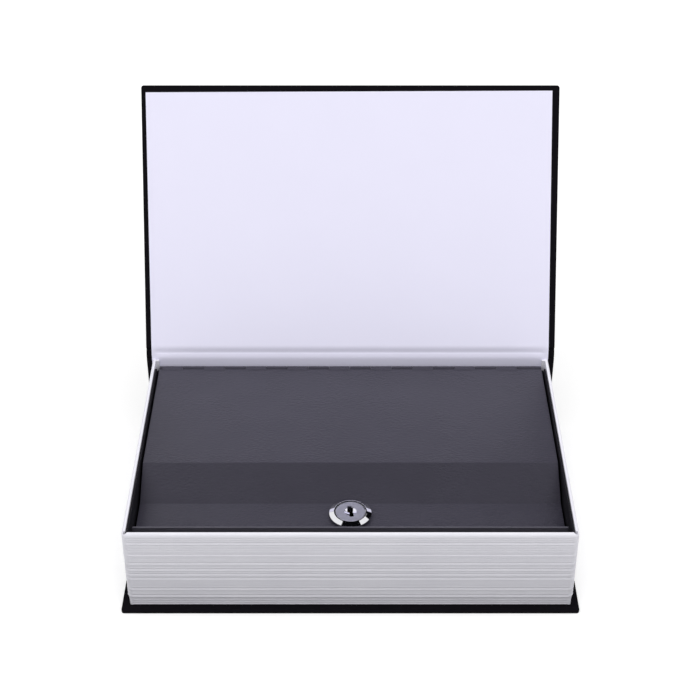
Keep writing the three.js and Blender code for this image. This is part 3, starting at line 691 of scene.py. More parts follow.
def plug_face_finish():
    """Satin nickel, brushed round the lock's axis."""
    finish = Finish("satin nickel")
    axis = joint_place("plug_turn")
    x, y, z = finish.parts(finish.place())
    x = x - axis.x
    y = y - axis.y
    angle = finish.maths("ARCTAN2", y, x)
    radius = finish.maths("SQRT", x * x + y * y)
    swirl = finish.node("CombineXYZ", values={0: angle * 1.5, 1: radius * 9.0, 2: z})
    brushed = finish.noise(swirl, 1, 3, 0.6)
    cloud = finish.noise(finish.place(), 0.5, 2)
    satin = radius.ramp(DISH_RADIUS - 0.1, DISH_RADIUS + 0.1)
    return finish.surface(
        Base_Color=finish.tint(brushed * 0.6 + cloud * 0.4, (224, 224, 236), (242, 242, 252)),
        Metallic=1.0,
        Roughness=0.08 + satin * (0.3 + 0.14 * brushed),
        Normal=finish.bump(brushed * satin, 0.006),
    )


CLOTH_FINISH = book_cloth_finish()
PAPER_FINISH = mottled_finish(
    "white endpaper",
    [((0.5, 3.0, 1), 1.2, 4, 0.6), (EVEN, 0.03, 2), (EVEN, 2.5, 3)],  # fibre, cloud and grain
    (232, 230, 249),
    (237, 235, 254),
    tint=(0.5, 0.5, 0),
    rough=(0.6, 0, 0, 0.15),
    relief=(0.4, 0, 0.6),
    depth=0.01,
    flat=True,
    Specular_IOR_Level=0.25,
)
PAGE_FINISH = mottled_finish(
    "page plastic",
    [((0.03, 0.03, 2.2), 1, 4, 0.65), (EVEN, 0.04, 2), ((0.2, 0.2, 3), 1.6, 3)],  # streaks, cloud and lines
    (212, 211, 221),
    (240, 239, 245),
    tint=(0.7, 0.3, 0),
    rough=(0.36, 0, 0, 0.2),
    relief=(0, 0, 1),
    depth=0.02,
    Specular_IOR_Level=0.4,
)
BLACK_FINISH = mottled_finish(
    "black powder coat",
    [(EVEN, 2.2, 3), (EVEN, 0.06, 2)],  # grain and cloud
    (22, 21, 25),
    (33, 32, 37),
    tint=(0, 1),
    rough=(0.5, 0.2),
    relief=(1, 0),
    depth=0.03,
    Specular_IOR_Level=0.15,
)
BOARD_FINISH = mottled_finish(
    "greyboard",
    [((1, 1, 4), 1.5, 4, 0.7), (EVEN, 3, 2)],  # fibre and specks
    (140, 132, 120),
    (172, 164, 150),
    tint=(0.7, 0.3),
    rough=(0.85, 0.1),
    relief=(1, 0),
    depth=0.05,
)
CARD_FINISH = mottled_finish(
    "lining card",
    [((1, 1, 3), 1.2, 4, 0.7), (EVEN, 0.05, 2)],  # fibre and cloud
    (225, 222, 238),
    (238, 235, 250),
    tint=(0.5, 0.5),
    rough=(0.7, 0.1),
    relief=(1, 0),
    depth=0.02,
)
LID_FINISH = lid_finish()
CHROME = metal_finish("bright chrome", (225, 225, 229), (236, 236, 240), 0.04, 0.02, 0.001)
NICKEL = plug_face_finish()
ZINC = metal_finish("zinc plate", (165, 168, 170), (190, 190, 188), 0.3, 0.2, 0.01)
# Painted shade: the brass is made darker than bright brass so that the wafers seen through the keyway read dark
BRASS = metal_finish("brass darkened as keyway shade", (120, 98, 52), (150, 124, 68), 0.35, 0.2, 0.008)
SPRING_STEEL = metal_finish("spring wire", (150, 150, 155), (175, 175, 180), 0.25, 0.15, 0.003)

# The book's case and front cover in one cloth

back_cover = Room("case_cloth")
cover_axis = joint_place("cover_hinge")
opening = radians(joint_of["cover_hinge"]["range_deg"][0])
TURN_IN_INNER = COVER - 0.3  # depth of the turn-ins' inner face
BACK_JOINT = Room("back_board").rear
FRONT_JOINT = -5
FRONT_FORE = -157.2
SPINE_TOP = 52.2
JOINT_CORNER = 0.3  # a board's corners at its joint
POCKET_ROUND = 0.2
WINDOW = (1, COVER + 1)  # heights that cut through the turn-ins' layer
CLOTH_EDGE = 0.1


def on_front(point):
    """From the front cover's own frame, drawn closed about its hinge line, to where it stands."""
    x, y, z = point
    cosine, sine = cos(opening), sin(opening)
    return Vector((x, cover_axis.y + y * cosine - z * sine, cover_axis.z + y * sine + z * cosine))


def front_line(points):
    """Points (y, z) in the front cover's own frame, as they stand."""
    return [on_front((0, y, z)).yz for y, z in points]


def on_spine(point):
    """From a board lying flat, with y for its height, to the spine."""
    x, y, z = point
    return Vector((x, back_cover.rear - z, y))


def wrapped_board(fore, joint, fold_at_joint, corner):
    """Cloth round one board, outer face down: three turned-in edges and an open joint edge."""
    left, right = back_cover.left, back_cover.right
    outline = lambda inset: plan(left, right, fore, joint, (corner, JOINT_CORNER), inset)
    inner = lambda inset: outline(inset + CLOTH)
    wrap = piece("wrap", slab(outline, 0, TURN_IN_INNER, CLOTH_FOLD, CLOTH_FOLD))
    pocket = slab(inner, CLOTH, TURN_IN_INNER - CLOTH, POCKET_ROUND, POCKET_ROUND)
    window_ends = (fore + fold_at_joint, joint - CLOTH)
    window = block((left + TURN_IN, right - TURN_IN), window_ends, WINDOW)
    cut(cut(wrap, pocket), window)
    shell = Shell()
    shell.ring([vertex.co / MM for vertex in wrap.data.vertices])
    shell.faces = [tuple(polygon.vertices) for polygon in wrap.data.polygons]
    bpy.data.objects.remove(wrap)
    return shell


def joint_cloth(line):
    """The cloth that runs over a joint, folded double near its ends."""
    left, right = back_cover.left + CLOTH_TUCK, back_cover.right - CLOTH_TUCK
    fold = left + TURN_IN
    single = lambda x: with_lengths(x, sheet_outline(line, CLOTH, CLOTH_EDGE))
    folded = lambda shrink: sheet_outline(line, 2 * CLOTH, CLOTH_EDGE, shrink, CLOTH / 2)
    double = lambda x, shrink: with_lengths(x, folded(shrink))
    ends = end_stations(left, right, CLOTH_EDGE)
    half = len(ends) // 2
    rings = [double(x, shrink) for x, shrink in ends[:half]]
    rings += [double(fold, 0), single(fold + CLOTH), single(0), single(-fold - CLOTH), double(-fold, 0)]
    rings += [double(x, shrink) for x, shrink in ends[half:]]
    return lofted(rings)


def book_cloth():
    shell = wrapped_board(back_cover.front, BACK_JOINT + CLOTH, TURN_IN, BOARD_CORNER)
    shell.add(wrapped_board(0, SPINE_TOP, CLOTH, JOINT_CORNER).moved(on_spine))
    outside_in = lambda point: on_front((point.x, point.y, COVER / 2 - point.z))
    shell.add(wrapped_board(FRONT_FORE, FRONT_JOINT, TURN_IN, BOARD_CORNER).moved(outside_in))
    tucked = CLOTH / 2 + CLOTH_TUCK
    foot = [(y, tucked) for y in (70, 73, 75)] + [(76.2, 0.5), (77.2, 0.5)]
    foot += [(y, tucked) for y in (78.2, 79.2)]
    shell.add(joint_cloth(flowing_line(foot)))
    back = back_cover.rear - tucked
    top = [(back, 46), (back, 49), (back, 51.3), (79.5, 52.15), (78.95, 52.6), (78.7, 53.2), (78.95, 54.1)]
    top += [(79.5, 55.3), (80.4, 56.6)]
    top += front_line([(y, COVER / 2 - tucked) for y in (-5, -7, -10, -14)])
    shell.add(joint_cloth(flowing_line(top)))
    return piece("book_cloth", shell)


def blended(shown, material, *nodes):
    """Lets a piece take the place of nodes on both sides of the cover's joint."""
    wear(shade(shown), material)
    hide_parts(*nodes)
    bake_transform(shown)


blended(book_cloth(), CLOTH_FINISH, "case_cloth", "front_cloth")

# The endpaper, from the foot of the spine over the joint to the front cover's fore edge

PAPER = 0.2
PAPER_FACE = -COVER / 2 + PAPER / 2
PAPER_FORE = -153.7
PAPER_SHORT = 0.9
PAPER_EDGE = 0.08
PAPER_ASKEW = 0.004  # how far it turns, from and about these distances up the cover
ASKEW_FROM = 7
ASKEW_ABOUT = 70
UP_THE_COVER = Vector((-cos(opening), -sin(opening)))
GROOVE_FADE = (0.5, 5)  # from the paper's ends, where the groove fades out
FADE_STEPS = 8
# The groove's section: along the front cover from its hinge line, and the heights where it is deep and fades
GROOVE_ALONG = [-7, -6.2, -5.4, -4.6, -3.8, -3, -2.2, -1.4]
GROOVE_DEEP = [-1.15, -1.13, -1.03, -0.83, -0.54, -0.24, -0.08, -0.14]
GROOVE_SHALLOW = [-1.15, -1.14, -1.08, -0.98, -0.85, -0.7, -0.54, -0.42]


def paper_line(depth, fore):
    """The paper's middle seen from the end. depth says how far the groove is pressed in, from 0 to 1."""
    spine = [(77.6, z) for z in (2.7, 20, 40, 48, 50.5)]
    bend = [(77.64, 52), (77.84, 53.3)]
    groove = [
        (y, shallow + (deep - shallow) * depth)
        for y, shallow, deep in zip(GROOVE_ALONG, GROOVE_SHALLOW, GROOVE_DEEP)
    ]
    cover = [(y, PAPER_FACE) for y in (-8, -12, -40, -80, -120, fore)]
    return flowing_line(spine + bend + front_line(groove[::-1] + cover), 5)


def askew(points):
    """Turns the paper a little on the front cover."""
    turned = []
    for x, y, z in points:
        up = Vector((y - cover_axis.y, z - cover_axis.z)).dot(UP_THE_COVER) - ASKEW_FROM
        turned.append((x - PAPER_ASKEW * (max(up, 0) - ASKEW_ABOUT), y, z))
    return turned


def endpaper():
    """The paper from the foot of the spine to the front cover's fore edge, a little askew."""
    room = Room("front_lining")
    rings = []
    faded, full = GROOVE_FADE
    fading = [faded + (full - faded) * i / FADE_STEPS for i in range(FADE_STEPS + 1)]
    left, right = room.left + PAPER_SHORT, room.right - PAPER_SHORT
    ends = end_stations(left, right, PAPER_EDGE)
    half = len(ends) // 2
    stations = ends[:half] + [(left + inset, 0) for inset in fading] + [(0, 0)]
    stations += [(right - inset, 0) for inset in reversed(fading)] + ends[half:]
    for x, shrink in stations:
        inset = min(x - left, right - x)
        share = min(max((inset - faded) / (full - faded), 0), 1)
        depth = share * share * (3 - 2 * share)
        line = paper_line(depth, PAPER_FORE - PAPER_ASKEW * x)
        points, flat = with_lengths(x, sheet_outline(line, PAPER, PAPER_EDGE, shrink))
        rings.append((askew(points), flat))
    return piece("endpaper", lofted(rings))


blended(endpaper(), PAPER_FINISH, "spine_lining", "front_lining")

# The plastic frame that looks like the pages

page_room = Room("page_frame")
FRAME_SIDE = page_room.right - PAGE_RIDGE
FRAME_FRONT = page_room.front + PAGE_RIDGE


def page_foot(base, top):
    """The bead at the bottom and the foot above it, which leans in."""
    bead = [(1.02, 0), (0.92, 0.12), (0.94, 0.36), (1.0, 0.5)]
    line = [(1.12, 0.6), (1.14, 0.8), (1.02, BEAD), (0.72, BEAD + 0.3)]
    foot = [(0.66, 2.1), (0.8, 2.3), (0.58, 2.6), (0.5, 3.5), (0.64, 3.7), (0.42, 4.0)]
    rising = [(inset, base + rise) for inset, rise in bead + line + foot]
    return rising + [(0.34, top - 0.5), (0.24, top - 0.15), (0.05, top)]


def thick_page(z):
    """A thick page's edge, with the shadow line above it."""
    steps = [(0, -0.35), (-0.07, -0.1), (-0.08, 0.1), (0.14, 0.85), (0.15, 0.95), (0, 1.75)]
    return [(inset, z + rise) for inset, rise in steps]


def thin_pages(low, high, chance):
    """The fine lines of the pages between two heights."""
    lines = []
    z = low + 0.5
    while z < high - 0.9:
        deep = PAGE_LINE_DEPTH * chance.uniform(0.3, 1)
        lines += [(0, z), (0.1 * deep, z + 0.1), (deep, z + 0.42), (0.8 * deep, z + 0.52), (0, z + 0.7)]
        z += PAGE_LINE_PITCH * chance.uniform(0.8, 1.4)
    return lines


def page_profile():
    """The outer face from the foot up, as pairs of inset and height."""
    base, top = page_room.bottom, page_room.top
    z = base + FOOT_HEIGHT
    rounded_from = top - FRAME_TOP_DROP
    profile = page_foot(base, z)
    chance = random.Random(7)
    for gap in [*PAGE_GAPS, rounded_from - z - sum(PAGE_GAPS)]:
        profile += thick_page(z + 0.4)
        profile += thin_pages(z + 1.9, z + gap, chance)
        z += gap
    for step in range(9):
        angle = radians(90 * step / 8)
        inset = FRAME_TOP_ROUND * (1 - cos(angle))
        profile.append((inset, rounded_from + FRAME_TOP_DROP * sin(angle)))
    return profile


def page_section(wall):
    """The frame's closed section where its wall has a given thickness, as pairs of inset and height."""
    edge = 0.2
    reach = wall - edge
    across = 1 - reach / FRAME_TOP_ROUND
    crest = page_room.top - FRAME_TOP_DROP * (1 - sqrt(max(1 - across**2, 0)))
    top = crest if reach < FRAME_TOP_ROUND else page_room.top
    outer = [(min(inset, reach - 0.05), min(z, top)) for inset, z in page_profile()]
    base = page_room.bottom
    inner = [(reach, top), (wall - 0.3 * edge, top - 0.3 * edge), (wall, top - edge)]
    return outer + inner + [(wall, base + edge), (reach, base)]


def page_path():
    """Points round the frame's outline with the direction out of it and the wall's thickness there."""
    steps = 14
    rear = page_room.rear
    centre_x = FRAME_SIDE - FRAME_CORNER
    centre_y = FRAME_FRONT + FRAME_CORNER
    to_relief = hypot(FRAME_CORNER - FRAME_WALL, FRAME_CORNER - FRAME_WALL)
    path = [(Vector((-FRAME_SIDE, rear)), Vector((-1, 0)), FRAME_WALL)]
    for side, first in ((-1, 180), (1, 270)):
        for i in range(steps + 1):
            angle = radians(first + 90 * i / steps)
            out = Vector((cos(angle), sin(angle)))
            off = radians(90 * i / steps - 45)
            inner = to_relief * cos(off) + sqrt(max(1 - (to_relief * sin(off)) ** 2, 0))
            corner = Vector((side * centre_x, centre_y))
            path.append((corner + out * FRAME_CORNER, out, FRAME_CORNER - inner))
    path.append((Vector((FRAME_SIDE, rear)), Vector((1, 0)), FRAME_WALL))
    return path


def page_block():
    rings = []
    for point, out, wall in page_path():
        rings.append([(*(point - out * inset), z) for inset, z in page_section(wall)])
    shell = lofted(rings)
    inner = FRAME_SIDE - FRAME_WALL
    heights = (page_room.bottom + RETURN_SHORT, page_room.top - RETURN_SHORT)
    for side in (-1, 1):
        xs = sorted((side * (inner - FRAME_RETURN), side * (inner + RETURN_LAP)))
        ys = (page_room.rear - FRAME_RETURN_WALL, page_room.rear - RETURN_SHORT)
        shell.add(block(xs, ys, heights, RETURN_ROUND))
    return piece("page_block", shell)


stand_for(page_block(), PAGE_FINISH, "page_frame")

# The steel tray and lid with their hinge

tray = Room("steel_tray")
lid = Room("safe_lid")
hinge = joint_place("lid_hinge")
lock = joint_place("plug_turn")
KNUCKLE_RADIUS = KNUCKLE_BORE + KNUCKLE_WALL


def tray_knuckles():
    """Where along X the tray's knuckles lie."""
    spans = []
    count = ceil(lid.right / KNUCKLE_PITCH)
    for k in range(-count, count + 1):
        middle = KNUCKLE_SHIFT + k * KNUCKLE_PITCH
        left = max(middle - KNUCKLE_LENGTH / 2, lid.left)
        right = min(middle + KNUCKLE_LENGTH / 2, lid.right)
        left = lid.left if left - lid.left < KNUCKLE_END else left
        right = lid.right if lid.right - right < KNUCKLE_END else right
        if right - left > KNUCKLE_LEAST:
            spans.append((left, right))
    return spans


def lid_knuckles():
    taken = tray_knuckles()
    gap = KNUCKLE_SIDE_GAP
    return [(before[1] + gap, after[0] - gap) for before, after in zip(taken, taken[1:])]


def curls(lead, roll, spans):
    """Strips that run in along a lead and roll round the pin, from one angle to another."""
    rolled = arc(hinge.yz, KNUCKLE_BORE + KNUCKLE_WALL / 2, *roll, ROLL_STEPS)
    line = with_sides([Vector(point) for point in lead] + rolled)
    shell = Shell()
    for span in spans:
        shell.add(drawn_sheet(line, KNUCKLE_WALL, *span, KNUCKLE_EDGE))
    return shell


def steel_tray():
    floor_round = TRAY_FLOOR_ROUND + SHEET
    rim = SHEET_EDGE
    outer = levels(tray.bottom, tray.top, floor_round, rim)
    inner = levels(tray.bottom + SHEET, tray.top, TRAY_FLOOR_ROUND, rim)
    inner = [(z, SHEET + inset) for z, inset in inner[: CORNER_STEPS + 1]]
    rim_inside = [(tray.top - drop, SHEET - inset) for drop, inset in quarter(rim, EDGE_STEPS)]
    rings = []
    for z, inset in outer + rim_inside + inner[::-1]:
        corners = (TRAY_CORNER + SHEET,) * 2
        outline = plan(tray.left, tray.right, tray.front, tray.rear, corners, inset)
        rings.append(section(outline, z))
    drawn = piece("drawn_tray", lofted(rings))
    low = hinge.z - KNUCKLE_RADIUS - KNUCKLE_SIDE_GAP
    rear = tray.rear + CUTTER_PAST
    notch_side = lid.right + NOTCH_GAP
    notch_depth = (tray.rear - SHEET - CUTTER_PAST, rear)
    cut(drawn, block((-notch_side, notch_side), notch_depth, (low, tray.top + 5)))
    slope = [(69.2, 60), (69.2, 50.6), (70.2, 48.6), (71.4, 46.2), (72.2, low), (rear, low), (rear, 60)]
    ends = (tray.left - CUTTER_PAST, tray.right + CUTTER_PAST)
    return cut(drawn, lofted([[(x, y, z) for y, z in slope] for x in ends]))


def rolled_tray_knuckles():
    """The tray's own knuckles, which share the lid's charcoal paint."""
    wall = tray.rear - KNUCKLE_WALL / 2
    lead = [(wall, z) for z in (hinge.z - 4.2, hinge.z - 2, hinge.z - 1)]
    return piece("tray_knuckles", curls(lead, TRAY_ROLL, tray_knuckles()))


def joined(first, second):
    """Puts the second object's mesh into the first."""
    with reworked(first.data) as work:
        work.from_mesh(second.data)
    bpy.data.objects.remove(second)
    return first


def lock_place(point):
    return point + lock


def at_lock(shown):
    """Puts a piece that was drawn round the lock's own zero where the lock is."""
    shown.data.transform(Matrix.Translation(lock * MM))
    return shown


def lock_heights(node):
    """The lower and upper end of a node, from the land's top face."""
    room = Room(node)
    return room.bottom - lock.z, room.top - lock.z


def flatted(radius, flat, low, high):
    """A round bar with two flats, for the barrel's hole."""
    return upright([(min(max(x, -flat), flat), y) for x, y, _ in circle(radius, 0)], low, high)


def bent_lid():
    middle = SHEET / 2
    top = lid.top - middle
    land = lid.bottom + middle
    panel_end = hinge.y - KNUCKLE_RADIUS - KNUCKLE_SLOT
    slope_foot = lid.front + LID_LAND_DEPTH
    corners = [
        (panel_end, top),
        (slope_foot + LID_SLOPE_RUN, top),
        (slope_foot, land),
        (lid.front + middle, land),
        (lid.front + middle, lid.bottom + SHEET + LID_LIP_HEIGHT),
    ]
    sheet = piece("bent_lid", drawn_sheet(bent_line(corners), SHEET, lid.left, lid.right))
    hole = flatted(BARREL_RADIUS + BARREL_GAP, BARREL_FLAT + BARREL_GAP, -3, 2)
    cut(sheet, hole.moved(lock_place))
    curl_top = hinge.z + KNUCKLE_BORE + KNUCKLE_WALL / 2
    lead = [(y, curl_top) for y in (panel_end - 1.5, panel_end, hinge.y - 0.8)]
    return joined(sheet, piece("lid_knuckles", curls(lead, LID_ROLL, lid_knuckles())))


stand_for(steel_tray(), BLACK_FINISH, "steel_tray")
stand_for(rolled_tray_knuckles(), LID_FINISH, "steel_tray", slot=slot_of["safe_lid"])
stand_for(bent_lid(), LID_FINISH, "safe_lid")


def hinge_pin():
    """The pin, with its two ends peened."""
    room = Room("hinge_pin")
    ends = [(0, room.left, 0), (PIN_RADIUS, room.left, PIN_PEEN), (PIN_RADIUS, room.right, PIN_PEEN)]
    shell = lathe(rounded_profile([*ends, (0, room.right, 0)]), SMALL_ROUND)
    shell.moved(lambda p: Vector((p.z, hinge.y + p.x, hinge.z + p.y)))
    return piece("pin_of_hinge", shell)


stand_for(hinge_pin(), ZINC, "hinge_pin")


def tray_rivet(number):
    """A rivet with a domed head and a turned edge."""
    room = Room(f"tray_rivet_{number}")
    seat = room.top - 1
    corners = [
        (0, room.bottom, 0),
        (1.6, room.bottom, 0.2),
        (1.6, seat, 0),
        (3.2, seat, 0.12),
        (3.0, seat + 0.45, 0.15),
        (1.8, seat + 0.92, 0.6),
        (0, room.top, 0),
    ]
    shell = lathe(rounded_profile(corners), SMALL_ROUND)
    middle = Vector((*room.middle[:2], 0))
    return piece(f"rivet_{number}", shell.moved(lambda p: p + middle))


for number in range(1, 5):
    stand_for(tray_rivet(number), ZINC, f"tray_rivet_{number}")

# The cam lock


def threaded(radius, depth, low, high, flat=None):
    """The rings of a barrel with a helical thread, which runs out towards its ends."""
    rings = []
    per_turn = 8
    count = int((high - low) / THREAD_PITCH * per_turn)
    for k in range(count + 1):
        z = low + (high - low) * k / count
        fade = min(1, (z - low) / THREAD_PITCH, (high - z) / THREAD_PITCH)
        ring = []
        for i in range(ROUND):
            turn = i / ROUND
            phase = (z / THREAD_PITCH - turn) % 1
            crest = abs(2 * phase - 1)
            local = radius - depth * fade * crest
            x = local * cos(2 * pi * turn)
            if flat:
                x = min(max(x, -flat), flat)
            ring.append((x, local * sin(2 * pi * turn), z))
        rings.append(ring)
    return rings


def cut_cross(shown, narrow, wide, heights):
    """Cuts two crossing slots, given by half their width and length, round the lock's axis."""
    for x, y in ((narrow, wide), (wide, narrow)):
        cut(shown, block((-x, x), (-y, y), heights))
    return shown


def lock_body():
    """The chrome head, the seat and the threaded barrel, with the bore for the plug."""
    head = [
        (SEAT_RADIUS, 0, 0),
        (SEAT_RADIUS, SEAT_HEIGHT, 0),
        (HEAD_RADIUS, SEAT_HEIGHT, 0.15),
        (HEAD_RADIUS, SEAT_HEIGHT + HEAD_EDGE, 0.1),
        (RIM_RADIUS, HEAD_HEIGHT, 0.12),
        (RECESS_RADIUS, HEAD_HEIGHT, 0.1),
        (RECESS_RADIUS, FACE_UNDER - 0.2, 0),
        (BORE_RADIUS, FACE_UNDER - 0.2, 0.1),
        (BORE_RADIUS, BARREL_END, 0),
    ]
    barrel = threaded(BARREL_RADIUS, THREAD_DEPTH, BARREL_END, -0.05, BARREL_FLAT)
    rings = barrel + [circle(radius, z) for radius, z in rounded_profile(head)]
    shown = piece("lock_head", lofted(rings, capped=False))
    return at_lock(cut_cross(shown, *GROOVE_CROSS, WAFER_GROOVES))


stand_for(lock_body(), CHROME, "lock_body")


def keyway():
    half, step = KEYWAY_WIDTH / 2, KEYWAY_STEP / 2
    tall, waist = KEYWAY_HEIGHT / 2, KEYWAY_WAIST / 2
    side = [(step - half, -tall), (step + half, -tall), (step + half, -waist), (half - step, waist)]
    return upright(side + [(-x, -y) for x, y in side], KEYWAY_END, FACE_TOP + 5)


def lock_plug():
    """The plug: a satin face with a dish and a stepped keyway, on a shaft with slots for the wafers."""
    ball = (DISH_RADIUS**2 + DISH_DEPTH**2) / (2 * DISH_DEPTH)
    centre = FACE_TOP - DISH_DEPTH + ball
    dish = []
    for i in range(DISH_STEPS + 1):
        radius = DISH_RADIUS * i / DISH_STEPS
        dish.append((radius, centre - sqrt(ball**2 - radius**2)))
    corners = [
        (*dish[-2], 0),
        (*dish[-1], 0.12),
        (FACE_RADIUS, FACE_TOP, 0.15),
        (FACE_RADIUS, FACE_UNDER, 0),
        (PLUG_RADIUS, FACE_UNDER, 0),
        (PLUG_RADIUS, BARREL_END - 0.1, 0.2),
        (0, BARREL_END - 0.1, 0),
    ]
    shown = piece("plug_of_lock", lathe(dish[:-1] + rounded_profile(corners)[1:]))
    cut(shown, keyway())
    reach, *pocket = SPRING_POCKET
    for i in range(WAFERS):
        heights = [WAFER_TOP - WAFER_PITCH * i + rise for rise in WAFER_SLOT]
        cut(shown, block((-WAFER_HALF, WAFER_HALF), (-PLUG_RADIUS - 2, PLUG_RADIUS + 2), heights))
        side = 1 if i % 2 == 0 else -1
        cut(shown, block(sorted((0, side * reach)), pocket, heights))
    square = (-TENON_HALF, TENON_HALF)
    tenon = piece("tenon", block(square, square, (TENON_END, BARREL_END + 0.3), 0.15))
    radius, low, high = SCREW_HOLE
    for part in (shown, tenon):
        cut(part, lathe([(0, low), (radius, low), (radius, high), (0, high)], SMALL_ROUND))
    return at_lock(joined(shown, tenon))


stand_for(lock_plug(), NICKEL, "lock_plug")

# Small parts under the lid and inside the lock


def lock_nut():
    """A chamfered hexagon nut with its thread."""
    across = Room("lock_nut").half
    corner = across / cos(radians(30))
    low, high = lock_heights("lock_nut")
    shown = piece("nut_of_lock", upright(arc((0, 0), corner, 30, 330, 5), low, high))
    bottom, top = low + NUT_CHAMFER, high - NUT_CHAMFER
    turned = [(0, low), (across, low), (corner, bottom), (corner, top), (across, high), (0, high)]
    cut(shown, lathe(turned), "INTERSECT")
    settle(soften(shown, NUT_EDGE))
    thread = lofted(threaded(BARREL_RADIUS + THREAD_GAP, THREAD_DEPTH, low - 1, high + 1))
    return at_lock(cut(shown, thread))


def toothed_washer():
    """A lock washer with twelve twisted teeth."""
    low, high = lock_heights("cam_washer")
    outer, root, inner = Room("cam_washer").half, 3.1, 1.6
    teeth, thick = 12, 0.3
    corners = ((0.12, root, 0), (0.3, outer, -1), (0.7, outer, 1), (0.88, root, 0))
    middle = (low + high) / 2
    tilt = (high - low - thick) / 2
    rings = []
    for face in (middle - thick / 2, middle + thick / 2):
        hole, edge = [], []
        for tooth in range(teeth):
            for share, radius, twist in corners:
                angle = 2 * pi * (tooth + share) / teeth
                direction = Vector((cos(angle), sin(angle), 0))
                edge.append(direction * radius + Vector((0, 0, face + twist * tilt)))
                hole.append(direction * inner + Vector((0, 0, face)))
        rings += [hole, edge]
    shell = lofted([rings[i] for i in (0, 1, 3, 2)], capped=False)
    return piece("toothed_washer", shell.moved(lock_place))


def cam_screw():
    """A pan-head screw with a cross slot, which holds the cam on the plug."""
    low, high = lock_heights("cam_screw")
    head = [(0, 0, 0), (1.6, 0.08, 0.6), (2.9, 0.6, 0.6), (3.2, 1.5, 0.25), (3.2, 1.9, 0.08), (1.5, 1.9, 0)]
    profile = rounded_profile([(radius, low + height, rounding) for radius, height, rounding in head])
    rings = [circle(radius, z) for radius, z in profile[1:]]
    rings += threaded(1.5, 0.22, low + 2, high - 0.4)
    rings += [circle(0.9, high)]
    return at_lock(cut_cross(piece("screw_of_cam", lofted(rings)), 0.4, 2.1, (low - 1, low + 0.95)))


def wafer_spring(number):
    """A wound spring as long and wide as its stand-in rod."""
    room = Room(f"wafer_spring_{number}")
    wire = 0.1
    radius = room.half - wire
    x, _, z = room.middle
    middle = Vector((x, 0, z))
    turns, steps, sides = 6, 14, 8
    rings = []
    for i in range(turns * steps + 1):
        share = i / (turns * steps)
        angle = 2 * pi * turns * share
        out = Vector((cos(angle), 0, sin(angle)))
        y = room.front + wire + (room.rear - room.front - 2 * wire) * share
        centre = middle + out * radius + Vector((0, y, 0))
        ring = []
        for k in range(sides):
            turn = 2 * pi * k / sides
            ring.append(centre + (out * cos(turn) + Vector((0, sin(turn), 0))) * wire)
        rings.append(ring)
    return piece(f"spring_{number}", lofted(rings))


stand_for(lock_nut(), ZINC, "lock_nut")
stand_for(toothed_washer(), ZINC, "cam_washer")
stand_for(cam_screw(), ZINC, "cam_screw")
for number in range(1, WAFERS + 1):
    stand_for(wafer_spring(number), SPRING_STEEL, f"wafer_spring_{number}")

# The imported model's own solids that stay, with softened edges

for material, edge, *nodes in (
    (BOARD_FINISH, 0.15, "back_board", "spine_board", "front_board"),
    (CARD_FINISH, 0.05, "back_lining"),
    (BLACK_FINISH, 0.25, "lock_rail"),
    (ZINC, 0.12, "lock_washer"),
    (ZINC, 0.15, "lock_cam"),
    (BRASS, 0.06, "wafer_1", "wafer_2", "wafer_3", "wafer_4"),
):
    for node in nodes:
        solid = frame["nodes"][node]
        wear(solid, material)
        soften(solid, edge)

# Lamps, floor and camera. Heights and spreads are in degrees.

KEY_HEIGHT = 74
KEY_SPREAD = 100
KEY_LIGHT = 0.77  # 1 shows a colour as it is written, on a face square to the lamp
SIDE_HEIGHT = 18
SIDE_SPREAD = 70
SIDE_LIGHT = 0.2
SKY_LIGHT = 0.3
FLOOR_REACH = 4000
FLOOR_BOUNCE = 0.8  # its paint for the light that it throws up
FLOOR_GLOW = 0.4  # where it is seen directly
CARD_HEIGHT = 1000
CAMERA_PLACE = (0, -0.6593, 0.5728)  # in metres
CAMERA_TILT = 55.09  # degrees up from straight down
CAMERA_SHIFT = -0.4  # pixels
LENS = 78.81
PHOTO_WIDTH = 700


def grey(value):
    return (value, value, value, 1)


def rectangles(height, *spans):
    """Flat rectangles at a height, each from left to right and from front to rear."""
    shell = Shell()
    for left, right, front, rear in spans:
        corners = [(left, front), (right, front), (right, rear), (left, rear)]
        shell.faces.append(tuple(shell.ring(section(corners, height))))
    return shell


def soft_light(name, light, height, around, spread):
    """A broad soft light at a height above the floor, turned round from the front."""
    lamp = bpy.data.lights.new(name, "SUN")
    lamp.energy = light * pi
    lamp.angle = radians(spread)
    shown = linked(name, lamp)
    shown.rotation_euler = (radians(90 - height), 0, radians(around))
    shown.visible_glossy = False


def seen_directly(finish):
    """1 for what the camera, a mirror or glass sees, and 0 for the light that falls on things."""
    kinds = ("Camera", "Glossy", "Transmission")
    first, second, third = (finish.node("LightPath", output=f"Is {kind} Ray") for kind in kinds)
    return finish.maths("MAXIMUM", finish.maths("MAXIMUM", first, second), third)


def studio_world():
    world = bpy.data.worlds.new("studio")
    world.use_nodes = True
    bpy.context.scene.world = world
    finish = Finish(tree=world.node_tree)
    strength = SKY_LIGHT + (1 - SKY_LIGHT) * seen_directly(finish)
    sky = finish.node("Background", values={"Color": grey(1), "Strength": strength})
    finish.node("OutputWorld", values={"Surface": sky})


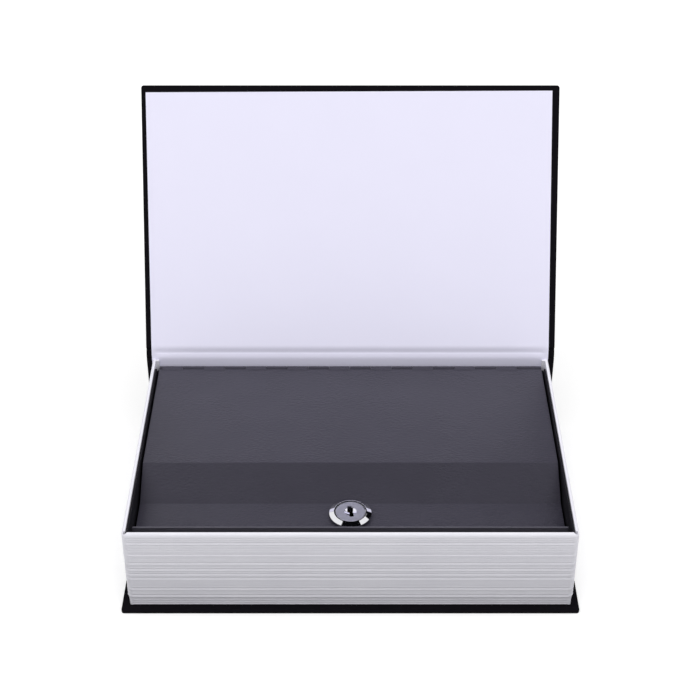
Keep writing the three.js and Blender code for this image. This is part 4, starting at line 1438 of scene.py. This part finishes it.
def studio_floor():
    """A white floor that keeps a soft shadow, and throws little light up."""
    reach = (-FLOOR_REACH, FLOOR_REACH)
    floor = piece("studio_floor", rectangles(0, (*reach, *reach)))
    finish = Finish("pale floor")
    speckle = finish.noise(finish.place(), 0.2, 2)
    white = finish.mixed(speckle, grey(0.64), grey(0.66))
    x, y, _ = (finish.maths("ABSOLUTE", part) for part in finish.parts(finish.place()))
    aside = finish.maths("MAXIMUM", x - back_cover.right, y - back_cover.rear)
    dull = finish.mixed(aside.ramp(10, 150), grey(0.02), grey(FLOOR_BOUNCE))
    seen = seen_directly(finish)
    finish.surface(
        Base_Color=finish.mixed(seen, dull, white),
        Roughness=1.0,
        Specular_IOR_Level=0.0,
        Emission_Color=finish.mixed(seen, grey(0), grey(1)),
        Emission_Strength=FLOOR_GLOW,
    )
    wear(floor, finish.material)


def dark_cards(*spans):
    """Cards that hang above and show only in gloss, as the dark parts of the studio."""
    cards = piece("dark_cards", rectangles(CARD_HEIGHT, *spans))
    finish = Finish("dark card")
    finish.surface(Base_Color=(0.004, 0.004, 0.005, 1), Roughness=1.0, Specular_IOR_Level=0.0)
    wear(cards, finish.material)
    for ray in ("camera", "diffuse", "shadow", "transmission"):
        setattr(cards, f"visible_{ray}", False)


soft_light("key_light", KEY_LIGHT, KEY_HEIGHT, 0, KEY_SPREAD)
for side, around in (("left", -90), ("right", 90)):
    soft_light(f"{side}_light", SIDE_LIGHT, SIDE_HEIGHT, around, SIDE_SPREAD)
studio_world()
studio_floor()
dark_cards(
    (-355, 415, -60, 9000),  # above, between two bright windows
    (-9000, 9000, -2500, -60),  # in front
    (820, 9000, -60, 9000),  # at the right
    (415, 820, 1000, 9000),  # behind the right window
    (-9000, -1300, -60, 9000),  # at the left
    (-1300, -355, 2400, 9000),  # behind the left window
)

camera = linked("camera", bpy.data.cameras.new("camera"))
camera.location = CAMERA_PLACE
camera.rotation_euler = (radians(CAMERA_TILT), 0, 0)
camera.data.lens = LENS
camera.data.sensor_width = 36
camera.data.shift_x = CAMERA_SHIFT / PHOTO_WIDTH
camera.data.dof.use_dof = False
bpy.context.scene.camera = camera
bpy.context.scene.view_settings.view_transform = "Standard"
